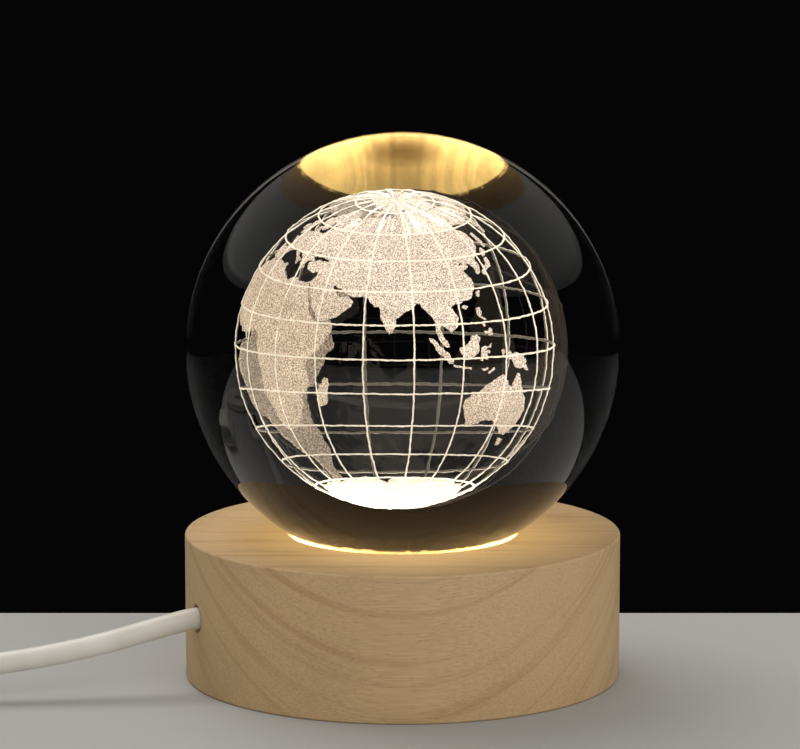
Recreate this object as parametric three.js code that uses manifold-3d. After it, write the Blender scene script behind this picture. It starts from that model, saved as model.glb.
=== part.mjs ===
// Crystal ball lamp: a glass ball with a globe engraved inside it rests on a turned beech base.
// The base holds a board of warm white LEDs that shine up into the ball. A thin round lead runs
// from the base through an in-line rocker switch and a coil to a flat plug.
// Millimetres, +Z up. The origin is the middle of the base's underside, on the table.

import * as THREE from "three";
import { mergeVertices } from "three/addons/utils/BufferGeometryUtils.js";
import Module from "manifold-3d";

const wasm = await Module();
wasm.setup();

// Driving dimensions, shared by every piece
const fitGap = 0.3;
const cutOverrun = 1;
const mergeDistance = 0.0001;

// Glass ball
const ballDiameter = 60;
const ventDiameter = 1;

// Globe engraved inside the ball
const globeDiameter = 29.3;
const gridLineWidth = 0.9;
const gridLineRelief = 0.45;
const landRelief = 0.2;
const globeClearance = 0.4;
const meridianCount = 16;
const parallelCount = 11;
const facingLongitude = 85.7;
const globeTilt = 4.2;
const polarInsetFactor = 4;

// Turned beech base, a little wider than the ball all round
const baseOverhang = 0.3;
const baseHeight = 20.2;
const baseEdgeBreak = 0.3;
const baseWall = 7.8;
const baseTopThickness = 7.2;
const seatDrop = 0.77;
const seatLand = 1.1;
const coverLedgeWidth = 4.8;
const coverThickness = 1.6;
const padThickness = 1.2;
const coverPlay = 0.3;

// LED board and what is on it
const boardThickness = 1.6;
const boardLap = 4.2;
const wiringRoom = 4.5;
const ledRingShare = 0.45;
const ledCount = 6;
const ledLength = 3.5;
const ledWidth = 2.8;
const ledHeight = 0.7;
const resistorLength = 3.2;
const resistorWidth = 1.6;
const resistorHeight = 0.6;

// Fasteners in the base
const spacerDiameter = 3.8;
const spacerLength = 2.7;
const spacerEdgeRoom = 0.15;
const boardScrewDiameter = 1.8;
const boardScrewHeadDiameter = 3.6;
const boardScrewHeadHeight = 1.2;
const boardScrewBite = 4.2;
const coverScrewDiameter = 2;
const coverScrewHeadDiameter = 3.8;
const coverScrewHeadHeight = 1;
const coverScrewLength = 7;
const screwCount = 3;
const screwTurn = 30;

// Lead, its hole in the base, and the tie that keeps it from pulling out
const cordDiameter = 3;
const cordExitTurn = 201;
const cordHolePlay = 1;
const wireDiameter = 1;
const wireSpacing = 1.5;
const tieWidth = 1.4;
const tieThickness = 0.8;
const tieHeadLength = 2.6;
const tieHeadHeight = 1.6;

// In-line switch
const switchLength = 30;
const switchWidth = 13;
const switchHeight = 9;
const switchWall = 1.2;
const switchCorner = 3;
const switchEdge = 0.8;
const switchNearX = -64;
const switchLineY = -18;
const jacketGrip = 3.5;
const rockerLength = 12.4;
const rockerWidth = 6.6;
const rockerProud = 1.4;
const rockerDip = 0.9;
const rockerBelly = 1;
const rockerTilt = 8;
const pivotDrop = 3;
const pinDiameter = 2;
const pinReach = 1.3;
const postThickness = 1.3;
const postLength = 4;
const contactThickness = 0.4;
const contactWidth = 3;
const bridgeLength = 9;
const contactFoot = 3;
const switchScrewDiameter = 1.6;
const switchScrewHeadDiameter = 2.8;
const switchScrewHeadHeight = 0.8;
const switchBossWall = 0.8;
const switchBossInset = 5.7;

// Coil that holds the spare lead, and the tie round it
const coilMeanDiameter = 33;
const coilPitch = 3.5;
const coilLoops = 8;
const coilStartTurn = -60;
const coilEndTurn = 90;
const coilClimb = 0.5;
const coilCentreX = -136;
const coilCentreY = -2;
const strapThickness = 0.5;
const strapWidth = 4;

// Plug
const plugLength = 22;
const plugWidth = 15.2;
const plugHeight = 8;
const plugCorner = 2.4;
const plugEdge = 0.8;
const plugRearX = -102;
const reliefLength = 9;
const reliefBaseDiameter = 6.4;
const reliefTipDiameter = 4.6;
const jacketPlugDepth = 4;
const shellWidth = 12;
const shellHeight = 4.5;
const shellWall = 0.3;
const shellReach = 12;
const shellSunk = 6.5;
const shellWindowLength = 2.2;
const shellWindowWidth = 2.4;
const shellWindowSpacing = 5.4;
const tongueThickness = 1.8;
const tongueSetback = 1;
const plugContactCount = 4;
const plugContactWidth = 1;
const plugContactThickness = 0.2;
const plugContactSpacing = 2.3;
const plugContactLength = 7;

// How finely round shapes are divided
const turnedSides = 64;
const ballSides = 36;
const smallSides = 16;
const screwSides = 12;
const cordSides = 8;
const wireSides = 6;
const coilSides = 6;
const coilStepsPerLoop = 24;
const leadSteps = 16;
const middleSteps = 12;
const tailSteps = 14;
const boardWireSteps = 12;
const redInSteps = 6;
const redOutSteps = 8;
const blackWireSteps = 16;

const half = (value) => value / 2;
const radians = THREE.MathUtils.degToRad;

// Solids: closed geometry goes in, joined or cut geometry comes out

function solid(geometry) {
  const bare = geometry.clone();
  bare.deleteAttribute("normal");
  bare.deleteAttribute("uv");
  const merged = mergeVertices(bare, mergeDistance);
  const places = merged.getAttribute("position");
  const kept = [];
  const corners = [new THREE.Vector3(), new THREE.Vector3(), new THREE.Vector3()];
  let volume = 0;
  for (let i = 0; i < merged.index.count; i += 3) {
    const face = [merged.index.getX(i), merged.index.getX(i + 1), merged.index.getX(i + 2)];
    if (new Set(face).size < 3) continue;
    face.forEach((vertex, k) => corners[k].fromBufferAttribute(places, vertex));
    volume += corners[0].dot(corners[1].clone().cross(corners[2]));
    kept.push(face);
  }
  const outward = kept.map((face) => (volume < 0 ? [face[0], face[2], face[1]] : face));
  const mesh = new wasm.Mesh({
    numProp: 3,
    vertProperties: Float32Array.from(places.array),
    triVerts: Uint32Array.from(outward.flat()),
  });
  return new wasm.Manifold(mesh);
}

function join(first, ...others) {
  return others.reduce((body, other) => body.add(other), first);
}

function cut(body, ...tools) {
  return tools.reduce((left, tool) => left.subtract(tool), body);
}

function geometryOf(body) {
  const mesh = body.getMesh();
  const geometry = new THREE.BufferGeometry();
  const places = new Float32Array(mesh.numVert * 3);
  for (let i = 0; i < mesh.numVert; i += 1) {
    places[3 * i] = mesh.vertProperties[mesh.numProp * i];
    places[3 * i + 1] = mesh.vertProperties[mesh.numProp * i + 1];
    places[3 * i + 2] = mesh.vertProperties[mesh.numProp * i + 2];
  }
  geometry.setAttribute("position", new THREE.BufferAttribute(places, 3));
  geometry.setIndex(new THREE.BufferAttribute(Uint32Array.from(mesh.triVerts), 1));
  geometry.computeVertexNormals();
  return geometry;
}

// A profile of [radius, height] points turned round the Z axis
function turned(profile, sides) {
  const points = profile.map(([radius, height]) => new THREE.Vector2(radius, height));
  const geometry = new THREE.LatheGeometry(points, sides);
  geometry.rotateX(Math.PI / 2);
  return solid(geometry);
}

// A round drum that stands on Z, with a tip that may be narrower or wider than its foot
function drum(radius, low, high, sides, x = 0, y = 0, tipRadius = radius) {
  const geometry = new THREE.CylinderGeometry(tipRadius, radius, high - low, sides);
  geometry.rotateX(Math.PI / 2);
  geometry.translate(x, y, half(low + high));
  return solid(geometry);
}

// A block between two opposite corners
function block(low, high) {
  const size = high.map((value, k) => value - low[k]);
  const geometry = new THREE.BoxGeometry(...size);
  geometry.translate(...high.map((value, k) => half(value + low[k])));
  return solid(geometry);
}

// A rounded rectangle, drawn round the origin
function roundedOutline(length, width, corner) {
  const shape = new THREE.Shape();
  const x = half(length);
  const y = half(width);
  shape.moveTo(corner - x, -y);
  shape.lineTo(x - corner, -y);
  shape.absarc(x - corner, corner - y, corner, -Math.PI / 2, 0);
  shape.lineTo(x, y - corner);
  shape.absarc(x - corner, y - corner, corner, 0, Math.PI / 2);
  shape.lineTo(corner - x, y);
  shape.absarc(corner - x, y - corner, corner, Math.PI / 2, Math.PI);
  shape.lineTo(-x, corner - y);
  shape.absarc(corner - x, corner - y, corner, Math.PI, 1.5 * Math.PI);
  return shape;
}

// A slab with rounded corners and, where edge isn't zero, eased edges top and bottom
function slab(length, width, low, high, corner, edge = 0) {
  const geometry = new THREE.ExtrudeGeometry(roundedOutline(length, width, corner), {
    depth: high - low - 2 * edge,
    bevelEnabled: edge > 0,
    bevelThickness: edge,
    bevelSize: edge,
    bevelOffset: -edge,
    bevelSegments: 2,
    curveSegments: 4,
  });
  geometry.translate(0, 0, low + edge);
  return geometry;
}

// A round tube along a smooth path
function tube(path, diameter, sides, steps) {
  const section = new THREE.Shape();
  for (let k = 0; k < sides; k += 1) {
    const turn = ((k + 0.5) / sides) * 2 * Math.PI;
    const x = half(diameter) * Math.cos(turn);
    const y = half(diameter) * Math.sin(turn);
    if (k === 0) section.moveTo(x, y);
    else section.lineTo(x, y);
  }
  const route = new THREE.CatmullRomCurve3(path, false, "centripetal");
  const settings = { steps, extrudePath: route, bevelEnabled: false };
  return new THREE.ExtrudeGeometry(section, settings);
}

// Finishes: colour, roughness, metalness
const finishes = {
  beech: [0xd8b27e, 0.62, 0],
  glass: [0xeaf2f2, 0.03, 0],
  engraving: [0xffe3b3, 0.7, 0],
  soldermask: [0xf2f1ea, 0.45, 0],
  phosphor: [0xffd97a, 0.4, 0],
  resistor: [0x1c1c1e, 0.5, 0],
  nylon: [0xe9e6dc, 0.5, 0],
  steel: [0xb9bcc0, 0.3, 1],
  blackAbs: [0x202124, 0.5, 0],
  foam: [0x17181a, 0.95, 0],
  palePvc: [0xe6e2d8, 0.5, 0],
  paleAbs: [0xe8e5dc, 0.4, 0],
  redPvc: [0xb3231d, 0.5, 0],
  blackPvc: [0x1a1a1c, 0.5, 0],
  brass: [0xc9a257, 0.3, 1],
  strap: [0xdedad0, 0.6, 0],
};

const lamp = new THREE.Group();

function piece(name, geometry, finish, parent = lamp) {
  const [color, roughness, metalness] = finishes[finish];
  const material = new THREE.MeshStandardMaterial({ color, roughness, metalness });
  material.flatShading = true;
  const mesh = new THREE.Mesh(geometry, material);
  mesh.name = name;
  parent.add(mesh);
  return mesh;
}

// From the outside in: the base follows the ball, the board fits the base's recess, and the well
// and the seat at its mouth follow the board
const ballRadius = half(ballDiameter);
const baseRadius = ballRadius + baseOverhang;
const recessRadius = baseRadius - baseWall;
const boardRadius = recessRadius - wiringRoom;
const wellRadius = boardRadius - boardLap;
const seatRadius = wellRadius + seatLand;

// Where the ball sits: on a cone that its surface meets at the seat radius
const seatReach = ballRadius + fitGap;
const seatAngle = Math.asin(seatRadius / seatReach);
const seatHeight = baseHeight - seatDrop;
const ballCentreHeight = seatHeight + seatReach * Math.cos(seatAngle);

// Base: well above, ceiling and cover seat below
const wellTop = seatHeight - seatLand * Math.tan(seatAngle);
const seatMouthRadius = seatRadius + seatDrop / Math.tan(seatAngle);
const ceilingHeight = baseHeight - baseTopThickness;
const coverSeatRadius = recessRadius + coverLedgeWidth;
const coverLedgeHeight = padThickness + coverThickness;
const coverRadius = coverSeatRadius - coverPlay;

// Board: hung below the ceiling on three spacers
const boardTop = ceilingHeight - spacerLength;
const boardBottom = boardTop - boardThickness;
const boardScrewCircle = boardRadius - half(spacerDiameter) - spacerEdgeRoom;
const boardScrewHole = half(boardScrewDiameter) + fitGap;
const coverScrewCircle = half(recessRadius + coverSeatRadius);
const coverScrewHole = half(coverScrewDiameter) + fitGap;

// Lead: its hole lies just under the ceiling, with room for the tie
const cordRadius = half(cordDiameter);
const cordHoleRadius = half(cordDiameter + cordHolePlay);
const tieOuterRadius = cordRadius + fitGap + tieThickness;
const cordHoleHeight = ceilingHeight - tieOuterRadius - fitGap;
const tieFarRadius = recessRadius - fitGap;
const jacketEndRadius = tieFarRadius - tieWidth - fitGap;

function around(count, turn, radius, k) {
  const angle = radians(turn + (k * 360) / count);
  return [radius * Math.cos(angle), radius * Math.sin(angle)];
}

// A point given by its distance out along the lead's hole, across it, and up
function alongExit(out, across, up) {
  const angle = radians(cordExitTurn);
  const x = out * Math.cos(angle) - across * Math.sin(angle);
  const y = out * Math.sin(angle) + across * Math.cos(angle);
  return new THREE.Vector3(x, y, up);
}

// The beech base: turned, with a well for the light, a seat for the ball and a recess below
function woodBase() {
  const profile = [
    [wellRadius, ceilingHeight],
    [wellRadius, wellTop],
    [seatMouthRadius, baseHeight],
    [baseRadius - baseEdgeBreak, baseHeight],
    [baseRadius, baseHeight - baseEdgeBreak],
    [baseRadius, baseEdgeBreak],
    [baseRadius - baseEdgeBreak, 0],
    [coverSeatRadius, 0],
    [coverSeatRadius, coverLedgeHeight],
    [recessRadius, coverLedgeHeight],
    [recessRadius, ceilingHeight],
    [wellRadius, ceilingHeight],
  ];
  const holes = [];
  const pilotTop = ceilingHeight + boardScrewBite + fitGap;
  const coverPilotTop = padThickness + coverScrewLength + fitGap;
  for (let k = 0; k < screwCount; k += 1) {
    const [bx, by] = around(screwCount, screwTurn, boardScrewCircle, k);
    const [cx, cy] = around(screwCount, screwTurn, coverScrewCircle, k);
    holes.push(drum(boardScrewHole, ceilingHeight - cutOverrun, pilotTop, screwSides, bx, by));
    holes.push(drum(coverScrewHole, padThickness, coverPilotTop, screwSides, cx, cy));
  }
  const from = half(recessRadius + boardRadius);
  const leadHole = new THREE.CylinderGeometry(
    cordHoleRadius,
    cordHoleRadius,
    baseRadius + cutOverrun - from,
    smallSides,
  );
  leadHole.rotateZ(Math.PI / 2);
  leadHole.rotateZ(radians(cordExitTurn));
  const middle = alongExit(half(baseRadius + cutOverrun + from), 0, cordHoleHeight);
  leadHole.translate(middle.x, middle.y, middle.z);
  return cut(turned(profile, turnedSides), solid(leadHole), ...holes);
}

piece("wood_base", geometryOf(woodBase()), "beech");

// Round foam pad and the cover above it, held by three countersunk screws
piece("base_pad", geometryOf(drum(coverRadius, 0, padThickness, turnedSides)), "foam");

const coverScrewFlare = half(coverScrewHeadDiameter) + fitGap;
const coverScrewNeck = padThickness + coverScrewHeadHeight;

function bottomCover() {
  const disc = drum(coverRadius, padThickness, coverLedgeHeight, turnedSides);
  const holes = [];
  for (let k = 0; k < screwCount; k += 1) {
    const [x, y] = around(screwCount, screwTurn, coverScrewCircle, k);
    const top = coverLedgeHeight + cutOverrun;
    holes.push(drum(coverScrewHole, padThickness, top, screwSides, x, y));
    holes.push(
      drum(coverScrewFlare, padThickness, coverScrewNeck, screwSides, x, y, coverScrewHole),
    );
  }
  return cut(disc, ...holes);
}

piece("bottom_cover", geometryOf(bottomCover()), "blackAbs");

for (let k = 0; k < screwCount; k += 1) {
  const [x, y] = around(screwCount, screwTurn, coverScrewCircle, k);
  const shankRadius = half(coverScrewDiameter);
  const headRadius = half(coverScrewHeadDiameter);
  const profile = [
    [0, padThickness],
    [headRadius, padThickness],
    [shankRadius, coverScrewNeck],
    [shankRadius, padThickness + coverScrewLength - coverScrewHeadHeight],
    [0, padThickness + coverScrewLength],
  ];
  const screw = geometryOf(turned(profile, screwSides));
  piece(`cover_screw_${k + 1}`, screw, "steel").position.set(x, y, 0);
}

// LED board, hung on spacers, with the LEDs above and two resistors below
function ledBoard() {
  const disc = drum(boardRadius, boardBottom, boardTop, turnedSides);
  const holes = [];
  for (let k = 0; k < screwCount; k += 1) {
    const [x, y] = around(screwCount, screwTurn, boardScrewCircle, k);
    const low = boardBottom - cutOverrun;
    holes.push(drum(boardScrewHole, low, boardTop + cutOverrun, screwSides, x, y));
  }
  return cut(disc, ...holes);
}

piece("led_board", geometryOf(ledBoard()), "soldermask");

for (let k = 0; k < screwCount; k += 1) {
  const [x, y] = around(screwCount, screwTurn, boardScrewCircle, k);
  const ring = [
    [boardScrewHole, boardTop],
    [half(spacerDiameter), boardTop],
    [half(spacerDiameter), ceilingHeight],
    [boardScrewHole, ceilingHeight],
    [boardScrewHole, boardTop],
  ];
  const spacer = geometryOf(turned(ring, screwSides));
  piece(`board_spacer_${k + 1}`, spacer, "nylon").position.set(x, y, 0);

  const headRadius = half(boardScrewHeadDiameter);
  const shankRadius = half(boardScrewDiameter);
  const profile = [
    [0, boardBottom - boardScrewHeadHeight],
    [headRadius - fitGap, boardBottom - boardScrewHeadHeight],
    [headRadius, boardBottom - half(boardScrewHeadHeight)],
    [headRadius, boardBottom],
    [shankRadius, boardBottom],
    [shankRadius, ceilingHeight + boardScrewBite - boardScrewDiameter],
    [0, ceilingHeight + boardScrewBite],
  ];
  const screw = geometryOf(turned(profile, screwSides));
  piece(`board_screw_${k + 1}`, screw, "steel").position.set(x, y, 0);
}

for (let k = 0; k < ledCount; k += 1) {
  const [x, y] = around(ledCount, 0, ledRingShare * boardRadius, k);
  const led = new THREE.BoxGeometry(ledWidth, ledLength, ledHeight);
  const mesh = piece(`led_${k + 1}`, led, "phosphor");
  mesh.position.set(x, y, boardTop + half(ledHeight));
  mesh.rotation.z = radians((k * 360) / ledCount);
}

// Two resistors under the board, on each side of where the wires are soldered
const resistorOutShare = 0.25;
const resistorAcrossShare = 0.2;
for (const [name, side] of [["resistor_1", -1], ["resistor_2", 1]]) {
  const body = new THREE.BoxGeometry(resistorLength, resistorWidth, resistorHeight);
  const place = alongExit(
    resistorOutShare * boardRadius,
    side * resistorAcrossShare * boardRadius,
    boardBottom - half(resistorHeight),
  );
  const mesh = piece(name, body, "resistor");
  mesh.position.copy(place);
  mesh.rotation.z = radians(cordExitTurn);
}

// Inner wires, from the end of the lead's jacket down and under the board to their pads
const padOutShare = 0.61;
const padAcrossShare = 0.11;
const wireHangShare = 0.375;

function boardWire(side) {
  const start = jacketEndRadius - fitGap;
  const edge = boardRadius + wireDiameter;
  const bend = half(start + edge);
  const hang = boardBottom - wireHangShare * (boardBottom - coverLedgeHeight);
  const near = half(wireSpacing) * side;
  const far = padAcrossShare * boardRadius * side;
  const pad = padOutShare * boardRadius;
  return [
    alongExit(start, near, cordHoleHeight),
    alongExit(bend, near, cordHoleHeight - half(wireDiameter)),
    alongExit(edge, near, half(cordHoleHeight + hang)),
    alongExit(edge - half(wireDiameter), near, hang + wireDiameter),
    alongExit(boardRadius - wireDiameter, half(near + far), hang),
    alongExit(half(boardRadius + pad), far, hang - half(wireDiameter)),
    alongExit(pad + wireDiameter, far, hang),
    alongExit(pad, far, half(boardBottom + hang)),
    alongExit(pad, far, boardBottom - fitGap),
  ];
}

const redTube = tube(boardWire(1), wireDiameter, wireSides, boardWireSteps);
const blackTube = tube(boardWire(-1), wireDiameter, wireSides, boardWireSteps);
piece("wire_red", redTube, "redPvc");
piece("wire_black", blackTube, "blackPvc");

// A nylon tie pulled tight round the lead inside the wall, with its head hanging below
function cordTie() {
  const bore = cordRadius + fitGap;
  const ring = [
    [bore, 0],
    [tieOuterRadius, 0],
    [tieOuterRadius, tieWidth],
    [bore, tieWidth],
    [bore, 0],
  ];
  const low = -tieOuterRadius - tieHeadHeight + half(tieThickness);
  const head = block(
    [-half(tieHeadLength), low, 0],
    [half(tieHeadLength), half(tieThickness) - tieOuterRadius, tieWidth],
  );
  return join(turned(ring, smallSides), head);
}

const cordTieGeometry = geometryOf(cordTie());
cordTieGeometry.rotateX(Math.PI / 2);
cordTieGeometry.rotateZ(Math.PI / 2);
cordTieGeometry.rotateZ(radians(cordExitTurn));
const cordTiePlace = alongExit(tieFarRadius - tieWidth, 0, cordHoleHeight);
piece("cord_tie", cordTieGeometry, "nylon").position.copy(cordTiePlace);

// The globe: a sphere of panels between raised grid lines, with raised land
const lineRadius = half(globeDiameter);
const seaRadius = lineRadius - gridLineRelief;
const landRadius = seaRadius + landRelief;
const cavityRadius = lineRadius + globeClearance;
const meridianStep = 360 / meridianCount;
const parallelStep = 180 / (parallelCount + 1);

function globeDirection(longitude, latitude) {
  const east = radians(longitude - facingLongitude);
  const north = radians(latitude);
  const x = Math.cos(north) * Math.sin(east);
  const y = -Math.cos(north) * Math.cos(east);
  const direction = new THREE.Vector3(x, y, Math.sin(north));
  return direction.applyAxisAngle(new THREE.Vector3(1, 0, 0), -radians(globeTilt));
}

function patchGeometry(corners, faces) {
  const geometry = new THREE.BufferGeometry();
  const places = corners.flatMap((corner) => corner.toArray());
  geometry.setAttribute("position", new THREE.Float32BufferAttribute(places, 3));
  geometry.setIndex(faces.flat());
  return geometry;
}

// Each cell between the lines is a sunk panel with four sloping borders
function gridSphere() {
  const corners = [];
  const faces = [];
  const place = (longitude, latitude, radius) => {
    corners.push(globeDirection(longitude, latitude).multiplyScalar(radius));
    return corners.length - 1;
  };
  const inset = THREE.MathUtils.radToDeg(half(gridLineWidth) / lineRadius);
  const polarInset = polarInsetFactor * inset;
  const polarShift = half(meridianStep);
  const insetEast = (latitude) => inset / Math.cos(radians(latitude));
  for (let row = 0; row <= parallelCount; row += 1) {
    const south = row * parallelStep - 90;
    const north = south + parallelStep;
    const lowLatitude = south + inset;
    const highLatitude = north - inset;
    for (let column = 0; column < meridianCount; column += 1) {
      const west = column * meridianStep;
      const east = west + meridianStep;
      const panel = [];
      const border = [];
      if (row > 0) {
        const shift = insetEast(lowLatitude);
        border.push(place(west, south, lineRadius), place(east, south, lineRadius));
        panel.push(place(west + shift, lowLatitude, seaRadius));
        panel.push(place(east - shift, lowLatitude, seaRadius));
      } else {
        border.push(place(west, south, lineRadius));
        panel.push(place(west + polarShift, south + polarInset, seaRadius));
      }
      if (row < parallelCount) {
        const shift = insetEast(highLatitude);
        border.push(place(east, north, lineRadius), place(west, north, lineRadius));
        panel.push(place(east - shift, highLatitude, seaRadius));
        panel.push(place(west + shift, highLatitude, seaRadius));
      } else {
        border.push(place(west, north, lineRadius));
        panel.push(place(west + polarShift, north - polarInset, seaRadius));
      }
      for (let k = 0; k < border.length; k += 1) {
        const next = (k + 1) % border.length;
        faces.push([border[k], border[next], panel[next]]);
        faces.push([border[k], panel[next], panel[k]]);
      }
      for (let k = 2; k < panel.length; k += 1) {
        faces.push([panel[0], panel[k - 1], panel[k]]);
      }
    }
  }
  return patchGeometry(corners, faces);
}

// Land outlines: longitude and latitude in degrees, coarse, chosen by hand
const landOutlines = {
  africa: [
    [-17, 15], [-16, 22], [-10, 30], [-6, 36], [10, 37], [20, 32], [32, 31], [37, 20], [43, 11],
    [51, 12], [47, 4], [40, -4], [40, -15], [35, -22], [32, -28], [25, -34], [18, -34],
    [12, -18], [13, -8], [9, 1], [5, 6], [-8, 5], [-14, 10],
  ],
  eurasia: [
    [-9, 37], [-9, 43], [-1, 44], [-3, 48], [4, 52], [9, 57], [6, 60], [14, 68], [26, 71],
    [40, 67], [60, 69], [72, 73], [104, 77], [120, 73], [150, 72], [180, 69], [190, 66],
    [178, 62], [164, 60], [157, 51], [155, 59], [142, 59], [136, 54], [139, 48], [129, 41],
    [128, 35], [125, 39], [119, 39], [122, 31], [117, 23], [108, 21], [109, 12], [104, 9],
    [101, 13], [103, 2], [98, 9], [97, 16], [91, 22], [86, 20], [80, 14], [77, 8], [72, 20],
    [66, 25], [57, 26], [49, 30], [55, 24], [59, 22], [52, 15], [44, 13], [39, 21], [35, 30],
    [36, 36], [27, 37], [23, 38], [19, 41], [14, 45], [18, 40], [15, 38], [9, 44], [3, 42],
    [-2, 37],
  ],
  northAmerica: [
    [-167, 65], [-156, 71], [-128, 70], [-95, 71], [-82, 68], [-94, 59], [-82, 53], [-78, 61],
    [-65, 59], [-56, 52], [-66, 44], [-75, 36], [-81, 31], [-80, 25], [-84, 30], [-97, 27],
    [-96, 19], [-88, 21], [-84, 15], [-83, 11], [-79, 9], [-78, 7], [-84, 9], [-93, 15],
    [-105, 20], [-112, 28], [-118, 34], [-124, 42], [-124, 48], [-135, 58], [-150, 60],
    [-162, 56],
  ],
  southAmerica: [
    [-79.5, 8.3], [-72, 12], [-60, 8], [-50, 1], [-35, -6], [-39, -15], [-48, -26], [-57, -36],
    [-65, -45], [-68, -54], [-74, -50], [-71, -20], [-80, -5], [-77, 3],
  ],
  greenland: [[-45, 60], [-54, 69], [-60, 76], [-35, 83], [-20, 77], [-24, 70], [-40, 65]],
  australia: [
    [114, -22], [115, -34], [124, -33], [132, -32], [138, -35], [146, -39], [151, -34],
    [153, -26], [146, -18], [142, -11], [140, -17], [136, -12], [130, -13], [122, -18],
  ],
  antarctica: [
    [-60, -65], [-75, -73], [-120, -74], [-160, -78], [170, -72], [140, -67], [110, -66],
    [70, -69], [40, -69], [0, -70], [-30, -77],
  ],
  borneo: [[109, 1], [113, 3], [117, 7], [119, 5], [116, -4], [110, -2]],
  sumatra: [[95, 6], [104, -1], [113, -7], [105, -6], [99, 0]],
  newGuinea: [[131, -1], [138, -2], [145, -5], [150, -10], [142, -9], [137, -6]],
  japan: [[130, 31], [132, 35], [140, 42], [142, 40], [140, 35], [135, 33]],
  madagascar: [[44, -25], [44, -17], [50, -13], [49, -19], [47, -25]],
  philippines: [[121, 18], [122, 14], [126, 7], [122, 8], [120, 14]],
};

// The wedge from deep inside the globe out through one outline
function landWedge(outline) {
  const directions = outline.map(([longitude, latitude]) => globeDirection(longitude, latitude));
  const centre = directions.reduce((sum, one) => sum.add(one), new THREE.Vector3()).normalize();
  const east = new THREE.Vector3(0, 0, 1).cross(centre).normalize();
  const north = centre.clone().cross(east);
  const flat = directions.map((one) => {
    const depth = one.dot(centre);
    return new THREE.Vector2(one.dot(east) / depth, one.dot(north) / depth);
  });
  if (THREE.ShapeUtils.isClockWise(flat)) {
    flat.reverse();
    directions.reverse();
  }
  const low = half(half(half(seaRadius)));
  const high = lineRadius + cutOverrun;
  const corners = [low, high].flatMap((level) =>
    directions.map((one) => one.clone().multiplyScalar(level / one.dot(centre))),
  );
  const count = directions.length;
  const lids = THREE.ShapeUtils.triangulateShape(flat, []);
  const faces = lids.map(([a, b, c]) => [a + count, b + count, c + count]);
  lids.forEach(([a, b, c]) => faces.push([c, b, a]));
  for (let k = 0; k < count; k += 1) {
    const next = (k + 1) % count;
    faces.push([k, next, next + count], [k, next + count, k + count]);
  }
  return patchGeometry(corners, faces);
}

function engravedGlobe() {
  const corners = [];
  const faces = [];
  for (let row = 0; row <= parallelCount + 1; row += 1) {
    for (let column = 0; column < meridianCount; column += 1) {
      const latitude = row * parallelStep - 90;
      corners.push(globeDirection(column * meridianStep, latitude).multiplyScalar(landRadius));
    }
  }
  for (let row = 0; row <= parallelCount; row += 1) {
    for (let column = 0; column < meridianCount; column += 1) {
      const next = (column + 1) % meridianCount;
      const low = row * meridianCount;
      const high = low + meridianCount;
      faces.push([low + column, low + next, high + next]);
      faces.push([low + column, high + next, high + column]);
    }
  }
  const landSphere = solid(patchGeometry(corners, faces));
  const land = Object.values(landOutlines).map((outline) =>
    solid(landWedge(outline)).intersect(landSphere),
  );
  const globe = join(solid(gridSphere()), ...land);
  return solid(geometryOf(globe));
}

// Glass ball: lifted out of its seat by hand. The engraved zone inside it has its own shape, and
// a hairline vent below it keeps the glass one open skin.
const ball = new THREE.Group();
ball.position.z = ballCentreHeight;
lamp.add(ball);

function glassBall() {
  const ventRadius = half(ventDiameter);
  const profile = [];
  const innerSteps = Math.round(ballSides / 3);
  const outerSteps = half(ballSides);
  const innerEnd = Math.PI - Math.asin(ventRadius / cavityRadius);
  for (let k = 0; k <= innerSteps; k += 1) {
    const turn = (innerEnd * k) / innerSteps;
    profile.push([cavityRadius * Math.sin(turn), cavityRadius * Math.cos(turn)]);
  }
  const outerStart = Math.PI - Math.asin(ventRadius / ballRadius);
  for (let k = 0; k <= outerSteps; k += 1) {
    const turn = outerStart * (1 - k / outerSteps);
    profile.push([ballRadius * Math.sin(turn), ballRadius * Math.cos(turn)]);
  }
  profile[0][0] = 0;
  profile[profile.length - 1][0] = 0;
  return turned(profile, ballSides);
}

const glass = piece("crystal_ball", geometryOf(glassBall()), "glass", ball);
glass.material.transparent = true;
glass.material.opacity = 0.3;
piece("engraved_globe", geometryOf(engravedGlobe()), "engraving", ball);

// In-line switch, lying on the table, with the lead through it at half its height
const inlineSwitch = new THREE.Group();
inlineSwitch.position.set(switchNearX - half(switchLength), switchLineY, 0);
lamp.add(inlineSwitch);

const switchMiddle = half(switchHeight);
const switchInnerLength = switchLength - 2 * switchWall;
const switchInnerWidth = switchWidth - 2 * switchWall;
const switchRoof = switchHeight - switchWall;
const pivotHeight = switchHeight - pivotDrop;
const jacketInnerX = half(switchLength) - jacketGrip;
const switchCordHole = cordRadius + fitGap;

// Rocker: its own frame has the pivot at zero. The window clears its ends at both stops.
const rockerTop = pivotDrop + rockerProud;
const tiltCosine = Math.cos(radians(rockerTilt));
const tiltSine = Math.sin(radians(rockerTilt));
const rockerSwing = half(rockerLength) * tiltCosine + rockerTop * tiltSine;
const windowLength = 2 * (rockerSwing + fitGap);
const windowWidth = rockerWidth + 2 * fitGap;
const postInner = half(rockerWidth) + fitGap;
const postOuter = postInner + postThickness;
const bossRadius = half(switchScrewDiameter) + fitGap + switchBossWall;
const bossX = half(switchLength) - switchBossInset;
const bossY = half(switchInnerWidth) - bossRadius + switchBossWall;
const bosses = [[bossX, bossY], [-bossX, -bossY]];

function caseHull() {
  const outer = slab(switchLength, switchWidth, 0, switchHeight, switchCorner, switchEdge);
  const corner = switchCorner - switchWall;
  return [
    solid(outer),
    solid(slab(switchInnerLength, switchInnerWidth, switchWall, switchRoof, corner)),
  ];
}

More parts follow.
